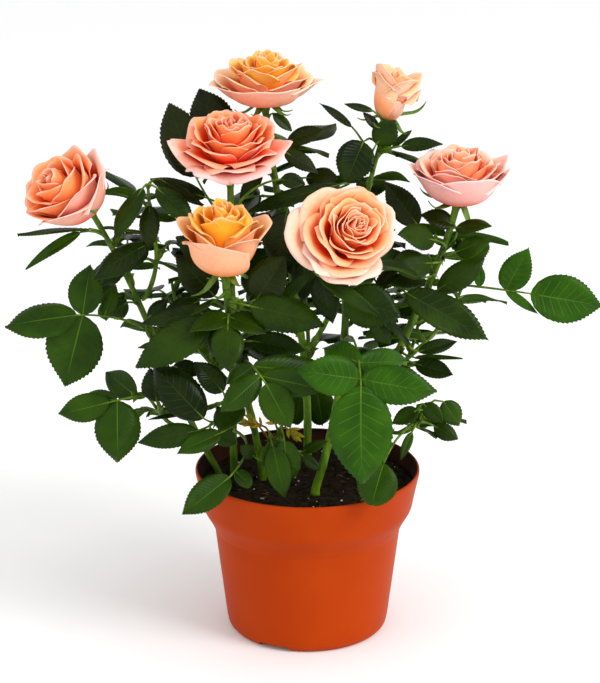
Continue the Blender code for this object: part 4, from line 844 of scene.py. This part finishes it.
def young_shoot(twigs, blades, random, start, tip):
    """A thin yellowish shoot with a few small leaflets that have just unfolded."""
    reach = tip - start
    middle = start + reach * 0.5 + UP * reach.length * 0.12
    twigs.tube([start, middle, tip], [0.8 * MM, 0.6 * MM, 0.35 * MM], 1)
    way = (tip - middle).normalized()
    for index in range(6):
        root = middle.lerp(tip, 1 - 0.14 * index)
        turn = Matrix.Rotation(index * GOLDEN, 3, way)
        out = (turn @ way.orthogonal().normalized() * (0.15 + 0.11 * index) + way).normalized()
        length = random.uniform(6, 10) * MM
        leaflet_sheet(blades, random, leaflet(root, out, FRONT, length, length * 0.24), "young")


# ---- petals
def bloom_matrix(axis, limb):
    """The frame of a bloom at its cane's end, +Z along its axis."""
    turn = UP.rotation_difference(Vector(axis).normalized()).to_matrix().to_4x4()
    return Matrix.Translation(limb["path"].points[-1]) @ turn


def petal_points(petal, across, along):
    """Points of one petal in the bloom's frame, its base at the origin and its axis on +Z.

    Every column follows a line that leaves the middle sideways, turns up and leans out again; the
    columns wrap round the axis, and the rim rolls back, at a pointed petal only beside its tip.
    """
    base, point, frill, phase = (petal[key] for key in ("base", "point", "frill", "phase"))
    steps = PETAL_STEPS
    side = np.abs(across)[:, None]
    m = ((np.arange(1, steps + 1) - 0.5) / steps)[None, :]
    start, middle, finish, roll = (math.radians(petal[k]) for k in ("start", "middle", "finish", "roll"))
    angle = (1 - m) * (1 - m / 0.45) * start + m / 0.45 * (1 - m) / 0.55 * middle
    angle = angle + m * (m - 0.45) / 0.55 * finish
    angle = angle + math.radians(30) * point * side ** 2 * np.maximum(m - 0.5, 0) * 2
    angle = angle + roll * (1 - point * (1 - side ** 1.3)) * np.maximum((m - 0.76) / 0.24, 0) ** 1.3
    notch = 0.025 * frill * np.sin(7.3 * across[:, None] + phase * 3)
    tall = petal["length"] * (1 - petal["drop"] * side ** 2.6 + notch
                              + 0.08 * point * np.maximum(1 - side * 3, 0))
    radius = base + np.cumsum(np.sin(angle) * tall / steps, axis=1)
    height = np.cumsum(np.cos(angle) * tall / steps, axis=1)
    marks = np.linspace(0, 1, steps + 1)
    width = petal["half"] * (0.20 + 0.80 * np.sin(np.minimum(along / 0.72, 1.0) * math.pi / 2))
    grid = np.zeros((len(along), len(across), 3))
    for column, u in enumerate(across):
        r = np.interp(along, marks, [base, *radius[column]])
        z = np.interp(along, marks, [0, *height[column]])
        wrap = u * np.minimum(width / np.maximum(r, 3.6 * MM), petal["wrap"])
        r = r + 0.5 * MM * wrap + 0.5 * MM * math.sin(3.1 * u + phase) * along * along
        r = r + 0.55 * MM * frill * math.sin(6.1 * u + phase * 2) * along ** 4
        z = z + 0.9 * MM * math.sin(2.3 * u + phase * 4) * along * along
        turn = petal["bearing"] + wrap
        grid[:, column] = np.stack([np.cos(turn) * r, np.sin(turn) * r, z], 1)
    return grid + np.array([*petal["offset"], 0.0]) * (grid[..., 2:] / petal["length"])


def petals_by_rule(name, random):
    """Every petal of a bloom, the heart first."""
    heart = HEARTS[name]
    offset = [c * MM for c in heart["offset"]]
    common = dict(frill=heart["frill"], drop=heart["drop"], point=0.3)
    for index in range(heart["count"]):
        share = index / (heart["count"] - 1)
        length, half = (low + (high - low) * share for low, high in (heart["length"], heart["half"]))
        lean, close, wide = heart["lean"], heart["close"], share ** heart["tight"]
        yield dict(common, bearing=index * GOLDEN + math.radians(BLOOMS[name][1] + random.uniform(-14, 14)),
                   base=(0.6 + 2.2 * share) * MM, start=42 + 30 * share,
                   middle=-8 + (lean[0] + 8) * wide + random.uniform(-4, 4),
                   finish=-close + (lean[1] + close) * wide + random.uniform(-8, 8),
                   length=length * random.uniform(0.94, 1.04) * MM, half=half * MM,
                   roll=55 * share * random.uniform(0.4, 1.2), wrap=random.uniform(1.2, 1.9),
                   phase=index * 1.7, offset=offset, share=share * 0.6)
    for index, (bearing, middle, finish, length, half, roll, point) in enumerate(GUARDS[name]):
        share = index / (len(GUARDS[name]) - 1)
        yield dict(bearing=math.radians(bearing), base=(2.6 + 1.2 * share) * MM,
                   start=30 if name == "bud" else 75 + 15 * share,
                   middle=middle, finish=finish, length=length * MM, half=half * MM, roll=roll,
                   point=point, wrap=1.4, phase=index * 2.3 + 1, share=0.65 + 0.35 * share,
                   offset=[c * MM * 0.4 * (1 - share) for c in heart["offset"]], drop=0.22,
                   frill=heart["frill"])


def mix(a, b, share):
    share = np.clip(share, 0, 1)[..., None]
    return np.asarray(a) * (1 - share) + np.asarray(b) * share


def petal_tints(name, share, along, across, random):
    """Colours over a petal's inner and outer side: deep at the foot, its own orange darkened and saturated
    there as painted shade and glow between the petals; pale at the rim.
    """
    deep_and_painted_glow, inside, outside, rim = (np.array(srgb(c)) for c in BLOOM_TINTS[name])
    v, u = np.meshgrid(along, across, indexing="ij")
    border = np.maximum((v - 0.94) / 0.06, (np.abs(u) - 0.96) / 0.04)
    border = border * (0.6 + 0.4 * np.sin(u * 4 + random.uniform(0, 6)))
    foot = 0.54 + 0.20 * (1 - share)
    pale = max(share - 0.45, 0) / 0.55
    # painted shade and glow: the deep colour holds up to foot, higher on the heart petals, before it gives
    # way to the inner colour
    inner = mix(deep_and_painted_glow, inside, (v - foot) / 0.30)
    inner = mix(inner, rim, (v - 0.95 + 0.42 * pale) / 0.40 * (0.15 + 0.75 * pale))
    body = mix(inside, outside, np.full(v.shape, (share - 0.5) / 0.25))
    outer = mix(deep_and_painted_glow, body, (v - foot + 0.30 * share) / 0.32)
    outer = mix(outer, rim, (v - 0.75) / 0.25 * 0.45 * pale)
    vary = random.uniform(0.94, 1.03)
    return (mix(tint, rim, border * 0.75) * vary for tint in (inner, outer))


def petals_of(name, limb):
    """All petals of one bloom as thin closed sheets."""
    place = np.array(bloom_matrix(HEARTS[name]["axis"], limb))
    random = np.random.default_rng(PETAL_SEED + list(BLOOMS).index(name))
    sheets = Sheets()
    along = np.linspace(0.04, 1, PETAL_ROWS) ** 0.85
    across = np.sin(np.linspace(-1, 1, PETAL_COLUMNS) * np.pi / 2)
    for petal in petals_by_rule(name, random):
        grid = petal_points(petal, across, along)
        ripple = 0.30 * MM * np.sin(np.linspace(0, 1, PETAL_COLUMNS) * random.uniform(8, 16)
                                    + random.uniform(0, 6)) * petal["share"]
        grid[..., 2] += ripple[None, :] * (along[:, None] ** 4)
        normal = np.cross(np.gradient(grid, axis=1), np.gradient(grid, axis=0))
        normal /= np.maximum(np.linalg.norm(normal, axis=2, keepdims=True), 1e-12)
        back = grid - normal * (PETAL_EDGE * (1.6 - 0.6 * along))[:, None, None]
        inner, outer = petal_tints(name, petal["share"], along, across, random)
        front, back = (side @ place[:3, :3].T + place[:3, 3] for side in (grid, back))
        sheets.slab(front, back, 0, 0, outer, inner)
    return sheets


# ---- calyx
def calyx_of(name, limb):
    """The bare stalk, the hip under the petals and five long curved sepals."""
    bloom_axis, turn = BLOOMS[name]
    sheets = Sheets()
    path, thick = limb["path"], limb["thick"][1]
    axis = Vector(bloom_axis).normalized()
    place = bloom_matrix(bloom_axis, limb)
    first = limb["leafy"][1] * path.length - GAP
    line = [path.point(at) for at in np.linspace(first, path.length - 2.5 * MM, 8)]
    radii = [thick * MM] * 6 + [thick * 1.15 * MM, HIP_RADIUS * 0.85]
    top = path.points[-1]
    line += [top, top + axis * 2.2 * MM, top + axis * 3.6 * MM]
    radii += [HIP_RADIUS * 1.15, HIP_RADIUS * 1.1, HIP_RADIUS * 0.7]
    sheets.tube(line, radii, 0, sides=14)
    random = np.random.default_rng(turn)
    for index in range(SEPALS):
        azimuth = index * math.tau / SEPALS + math.radians(turn)
        out = place.to_3x3() @ Vector((math.cos(azimuth), math.sin(azimuth), 0))
        sepal_sheet(sheets, random, top + axis * 1.5 * MM, out, axis)
    return sheets


def sepal_sheet(sheets, random, root, out, axis):
    """One long thin sepal that stands out under the petals and curls at its tip."""
    length = random.uniform(16, 26) * MM
    lean, bend, sway = (math.radians(random.uniform(*span)) for span in ((80, 145), (-40, 45), (-50, 50)))
    side = axis.cross(out)
    count = 16
    spot, spots = root + out * HIP_RADIUS * 0.6, []
    for i in range(count):
        t = i / (count - 1)
        angle = lean + bend * t - math.radians(80) * max(t - 0.5, 0) * 2
        way = axis * math.cos(angle) + out * math.sin(angle)
        way = (way + side * math.sin(sway * t) * 0.8).normalized()
        flat = (side - way * side.dot(way)).normalized()
        lift = way.cross(flat)
        half = 2.5 * MM * (math.sin(math.pi * min(t * 0.8 + 0.16, 1.0)) ** 0.9) * (1 - 0.75 * t) + 0.12 * MM
        spots.append([spot + flat * half * u + lift * 0.4 * half * abs(u) for u in (-1, -0.5, 0, 0.5, 1)])
        spot = spot + way * length / count
    top = np.array(spots, float)
    sheets.slab(top, top + np.array(out.cross(side)) * 0.3 * MM, 1, 1)


# ---- bark
def ridged_tube(sheets, limb, first, last, slim, seed, flare=1.0, sides=12):
    """A limb with its bark's relief: fine ridges along it, and a swelling at each old leaf scar."""
    path = limb["path"]
    marks = np.linspace(first, last, max(int((last - first) / (1.6 * MM)), 6) + 1)
    side, rings = path.tangent(marks[0]).orthogonal().normalized(), []
    for i, at in enumerate(marks):
        middle, way = path.point(at), path.tangent(at)
        if i:
            side = (side - way * side.dot(way)).normalized()
        joint = math.exp(-((at / (17 * MM) + seed * 0.37) % 1 * 9 - 1) ** 2)
        base = radius_at(limb, at / path.length) * slim
        base = base * (1 + 0.10 * joint + (flare - 1) * math.exp(-at / (3 * MM)))
        ring = []
        for a, out in round_ways(side, way, sides):
            rough = noise.noise(Vector((math.cos(a) * 2.2, math.sin(a) * 2.2, at * 90 + seed * 7)))
            ring.append(middle + out * (base + rough * 0.16 * MM))
        rings.append(ring)
    sheets.loft(rings)


def prickles(sheets, limb, first, last, slim, random, spacing):
    """Small hooked thorns that point down the limb."""
    path = limb["path"]
    at = first + spacing * random.uniform(0.3, 0.8)
    while at < last - 4 * MM:
        way = path.tangent(at)
        out = (Matrix.Rotation(random.uniform(0, math.tau), 3, way) @ way.orthogonal()).normalized()
        root = path.point(at) + out * (radius_at(limb, at / path.length) * slim) * 0.7
        size = random.uniform(1.6, 2.6) * MM
        line = [root, root + out * size * 0.5, root + out * size - way * size * 0.35]
        sheets.tube(line, [0.65 * MM, 0.35 * MM, 0.06 * MM])
        at += spacing * random.uniform(0.7, 1.6)


# ---- pot and soil shapes
def inner_radius(height):
    """Radius of the pot's inner wall at a height."""
    heights, radii = ([pair[k] * MM for pair in POT_OUTSIDE[::-1]] for k in (1, 0))
    return float(np.interp(height, heights, radii)) - WALL


def rounded(profile, radius, steps=4):
    """The profile with its corners rounded."""
    done = [profile[0]]
    for before, here, after in zip(profile, profile[1:], profile[2:]):
        here = np.array(here)
        ways = [np.array(p) - here for p in (before, after)]
        reach = [min(radius, np.linalg.norm(w) * 0.45) for w in ways]
        a, b = (here + w / np.linalg.norm(w) * r for w, r in zip(ways, reach))
        for i in range(steps + 1):
            t = i / steps
            done.append(tuple(a * (1 - t) ** 2 + here * 2 * t * (1 - t) + b * t * t))
    return done + [profile[-1]]


def turned_rings(profile, sides):
    """A profile of radii and heights turned round the pot's axis."""
    turn = np.arange(sides) * math.tau / sides
    return np.array([np.stack([r * np.cos(turn), r * np.sin(turn), np.full(sides, z)], 1)
                     for r, z in profile])


def channel(bearing):
    """Cutter for one channel under the floor, narrower at its roof, and for the drain hole in it."""
    length, width, height = CHANNEL_SIZE
    turn = Matrix.Rotation(math.radians(bearing), 4, "Z")
    place = Matrix.Translation((HUB_RADIUS + length / 2, 0, 0))
    size = Matrix.Diagonal((length, width, height * 2, 1))
    bm = bmesh.new()
    bmesh.ops.create_cube(bm, size=1)
    for vert in bm.verts:
        if vert.co.z > 0:
            vert.co.y *= 1 - CHANNEL_TAPER
    bmesh.ops.transform(bm, matrix=turn @ place @ size, verts=bm.verts)
    bmesh.ops.bevel(bm, geom=bm.edges[:], offset=0.8 * MM, segments=3, affect="EDGES", profile=0.5)
    drain = Matrix.Translation((DRAIN_FROM_AXIS, 0, FLOOR_TOP / 2 + 1 * MM))
    bmesh.ops.create_cone(bm, cap_ends=True, segments=32, radius1=DRAIN_RADIUS,
                          radius2=DRAIN_RADIUS, depth=FLOOR_TOP * 0.9, matrix=turn @ drain)
    mesh = bpy.data.meshes.new("channel")
    bm.to_mesh(mesh)
    bm.free()
    return placed("channel", mesh)


def dress_pot():
    """The pot at its full roundness, its edges softened, with the channels under its floor."""
    outside = [(r * MM, z * MM) for r, z in POT_OUTSIDE]
    inside = [(r - WALL, z) for r, z in outside[1:-2]]
    lip = (outside[0][0] - WALL, outside[0][1])
    profile = [(0.4 * MM, 0.0), *outside[::-1], lip, *inside]
    profile += [(inside[-1][0] - 1.2 * MM, FLOOR_TOP), (0.4 * MM, FLOOR_TOP)]
    sheets = Sheets()
    sheets.loft(turned_rings(rounded(profile, CORNER), POT_SIDES))
    pot = sheets.piece("pot_body", [pot_material(), soil_stain_and_painted_shade_material()], "pot_plastic", "pot")
    cutters = [channel(bearing) for bearing in CHANNEL_BEARINGS]
    for cutter in cutters:
        cut = pot.modifiers.new("channel", "BOOLEAN")
        cut.object, cut.operation, cut.solver, cut.use_self = cutter, "DIFFERENCE", "EXACT", True
    bpy.context.view_layer.update()
    mesh = bpy.data.meshes.new_from_object(pot.evaluated_get(bpy.context.evaluated_depsgraph_get()))
    pot.modifiers.clear()
    pot.data = mesh
    for cutter in cutters:
        bpy.data.objects.remove(cutter, do_unlink=True)
    bm = bmesh.new()
    bm.from_mesh(mesh)
    for face in bm.faces:
        face.smooth = True
        middle = face.calc_center_median()
        out = middle.x * face.normal.x + middle.y * face.normal.y
        # the inner wall above the floor takes the darker material: soil stain with painted shade
        face.material_index = 1 if out < 0 and middle.z > FLOOR_TOP else 0
    for edge in bm.edges:
        edge.smooth = len(edge.link_faces) == 2 and edge.calc_face_angle() < math.radians(32)
    bm.to_mesh(mesh)
    bm.free()


def dress_soil():
    """Crumbly soil with white grains and brown fibres on it."""
    low = FLOOR_TOP + GAP
    profile = [(0.4 * MM, low), (inner_radius(7.2 * MM) - 2.2 * MM, low)]
    for height in (57 * MM, 61.8 * MM, 67 * MM, SOIL_TOP - 1.6 * MM):
        profile.append((inner_radius(height) - 0.55 * MM, height))
    edge = profile[-1][0]
    profile += [(edge * i / 60, SOIL_TOP - 0.5 * MM) for i in range(60, 0, -1)]
    rings = turned_rings(profile, SOIL_SIDES)
    for spot in rings[6:].reshape(-1, 3):
        spot[2] = soil_height(spot[0], spot[1])
    sheets = Sheets()
    sheets.loft(rings)
    random = np.random.default_rng(SOIL_SEED)
    for number in range(CRUMBS):
        bearing, out = random.uniform(0, math.tau), edge * 0.97 * math.sqrt(random.uniform(0, 1))
        x, y = out * math.cos(bearing), out * math.sin(bearing)
        spot = Vector((x, y, soil_height(x, y)))
        if number % 8 == 0:
            grain(sheets, spot, random.uniform(0.5, 1.3) * MM, 1, random)
        elif number % 4 != 1:
            grain(sheets, spot, random.uniform(0.8, 2.8) * MM, 0, random)
        else:
            turn, long = random.uniform(0, math.tau), random.uniform(2, 6) * MM
            way = Vector((math.cos(turn), math.sin(turn), random.uniform(-0.1, 0.15)))
            line = [spot - way * long / 2, spot + UP * 0.5 * MM, spot + way * long / 2]
            radius = random.uniform(0.12, 0.35) * MM
            sheets.tube(line, [radius * 0.6, radius, radius * 0.5], 2)
    perlite = Look("perlite", (0.86, 0.84, 0.80), 0.8).material
    fibre = Look("fibre", (0.42, 0.30, 0.18), 0.85).material
    sheets.piece("soil_bed", [soil_material(), perlite, fibre], "soil", "soil")


def soil_height(x, y):
    """Height of the soil: uneven, crumbly, and heaped a little at the wall."""
    spot = Vector((x, y, 0.0))
    coarse, fine, crumbs = (noise.noise(spot * scale) for scale in (60, 260, 700))
    heap = max(spot.length - 42 * MM, 0) / (14 * MM)
    return SOIL_TOP + (coarse * 1.1 + fine * 1.2 + crumbs * 0.7 - 0.3 + 2.0 * heap) * MM


def grain(sheets, spot, size, slot, random):
    """A rough round crumb."""
    rings = []
    for i in range(5):
        rise = math.pi * (i + 0.5) / 5
        rings.append([spot + Vector((math.sin(rise) * math.cos(a), math.sin(rise) * math.sin(a),
                                     -math.cos(rise) * 0.8)) * size / 2 * random.uniform(0.8, 1.15)
                      for a in (math.tau * k / 8 for k in range(8))])
    sheets.loft(rings, slot)


# ---- the bush
def grow_limbs():
    """The canes, and the stems of all masses of foliage with their leafy stretch."""
    limbs, masses = {}, {}
    for name, cane in CANES.items():
        limbs[name] = dict(cane, path=limb_path(cane, limbs))
    for name, shoot in SHOOTS.items():
        path = limb_path(shoot, limbs)
        masses[name] = dict(shoot, path=path, first=0.0, last=path.length)
    for name, cane in limbs.items():
        first, last = (share * cane["path"].length for share in cane["leafy"])
        masses[name] = dict(cane, first=first + GAP / 2, last=last - GAP / 2)
    return limbs, masses


def dress_canes(limbs):
    bark = bark_material("bark", (0.21, 0.34, 0.03), (0.42, 0.57, 0.08), 0.55)
    for number, (name, cane) in enumerate(limbs.items()):
        last = cane["leafy"][0] * cane["path"].length
        sheets, random = Sheets(), np.random.default_rng(CANE_SEED + number)
        ridged_tube(sheets, cane, 0.0, last, CANE_SLIM, number, 1.1, 18)
        prickles(sheets, cane, 6 * MM, last, CANE_SLIM, random, PRICKLES_ON_CANE)
        sheets.piece("cane_bark_" + name, [bark], "bark", "cane_" + name)


def dress_foliage(masses, twig):
    """Every mass: its stem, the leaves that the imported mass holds, and the finer ones."""
    looks = [leaf_material(name, *tone) for name, tone in LEAF_TONES.items()]
    for name, colour in (("dark", (0.150, 0.235, 0.020)), ("fresh_lit", (0.250, 0.400, 0.060))):
        looks.append(Look("vein_" + name, colour, 0.45, 0.12).material)
    looks.append(leaf_material("under", (0.17, 0.27, 0.05), (0.25, 0.37, 0.09), 0.6, 0.03))
    sprout = bark_material("twig_young", (0.50, 0.34, 0.08), (0.60, 0.50, 0.14))
    random = np.random.default_rng(FILL_SEED)
    wanted = {name: [leaf(*row) for row in LEAVES.get(name, ())] for name in masses}
    for name, rule in FILL.items():
        wanted[name] += fill_leaves(masses[name], random, *rule)
    for number, (name, mass) in enumerate(masses.items()):
        random = np.random.default_rng(FOLIAGE_SEED + number)
        corners = corners_of("foliage_" + name)
        blades, twigs = Sheets(), Sheets()
        ridged_tube(twigs, mass, mass["first"], mass["last"], TWIG_SLIM, number + 20)
        prickles(twigs, mass, mass["first"], mass["last"], TWIG_SLIM, random, PRICKLES_ON_TWIG)
        for one in wanted[name]:
            plan = standing_leaf(one, stem_point(mass, one["at"]), corners)
            if plan:
                stalk_tubes(twigs, plan)
                tone = tone_of(plan, random)
                for spray in plan["leaflets"]:
                    leaflet_sheet(blades, random, spray, tone)
        for one in (leaf(*row) for row in MORE.get(name, ())):
            plan = next(leaf_layouts(one, stem_point(mass, one["at"])))
            stalk_tubes(twigs, plan)
            leaflet_sheet(blades, random, plan["leaflets"][0], tone_of(plan, random))
        for where, share, tip in SPROUTS:
            if where == name:
                start = mass["path"].point(share * mass["path"].length)
                young_shoot(twigs, blades, random, start, Vector(tip) * MM)
        twigs.piece("twigs_" + name, [twig, sprout], "bark", "foliage_" + name)
        blades.piece("leaves_" + name, looks, "leaf", "foliage_" + name)


def dress_blooms(limbs, twig):
    calyx = bark_material("calyx_green", (0.26, 0.40, 0.08), (0.46, 0.57, 0.22))
    petal = petal_material()
    for name in BLOOMS:
        petals_of(name, limbs[name]).piece("petals_" + name, [petal], "petal", "flower_" + name)
        calyx_of(name, limbs[name]).piece("calyx_" + name, [twig, calyx], "leaf", "flower_" + name)


# ---- the stage
def stage():
    """Pale floor, soft studio light and the camera."""
    mesh = bpy.data.meshes.new("floor")
    corners = [(x * FLOOR_HALF, y * FLOOR_HALF, 0) for x, y in ((-1, -1), (1, -1), (1, 1), (-1, 1))]
    mesh.from_pydata(corners, [], [(0, 1, 2, 3)])
    mesh.materials.append(Look("floor", (0.97, 0.97, 0.97), 0.9).material)
    placed("floor", mesh)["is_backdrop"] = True
    world = bpy.data.worlds.new("studio")
    world.use_nodes = True
    sky = world.node_tree.nodes["Background"].inputs
    sky["Color"].default_value = (1, 1, 1, 1)
    sky["Strength"].default_value = 1.0
    bpy.context.scene.world = world
    for name, place, size, power in LAMPS:
        light = bpy.data.lights.new(name, "AREA")
        light.size, light.energy = size, power
        lamp = placed(name, light)
        lamp.location = place
        lamp.rotation_euler = (LAMPS_AIM - Vector(place)).to_track_quat("-Z", "Y").to_euler()
    camera = placed("camera", bpy.data.cameras.new("camera"))
    camera.location = CAMERA_PLACE
    camera.rotation_euler = (math.radians(90 - CAMERA_PITCH), 0, 0)
    camera.data.lens, camera.data.sensor_width = CAMERA_LENS, CAMERA_SENSOR
    camera.data.sensor_fit = "HORIZONTAL"
    bpy.context.scene.camera = camera
    bpy.context.scene.view_settings.view_transform = "Standard"


cane_limbs, foliage_masses = grow_limbs()
twig_green = bark_material("twig_green", (0.22, 0.34, 0.04), (0.40, 0.52, 0.10))
dress_canes(cane_limbs)
dress_foliage(foliage_masses, twig_green)
dress_blooms(cane_limbs, twig_green)
dress_pot()
dress_soil()
stage()
[[list(corner) for corner in box] for box in (CAD_BOX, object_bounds())]
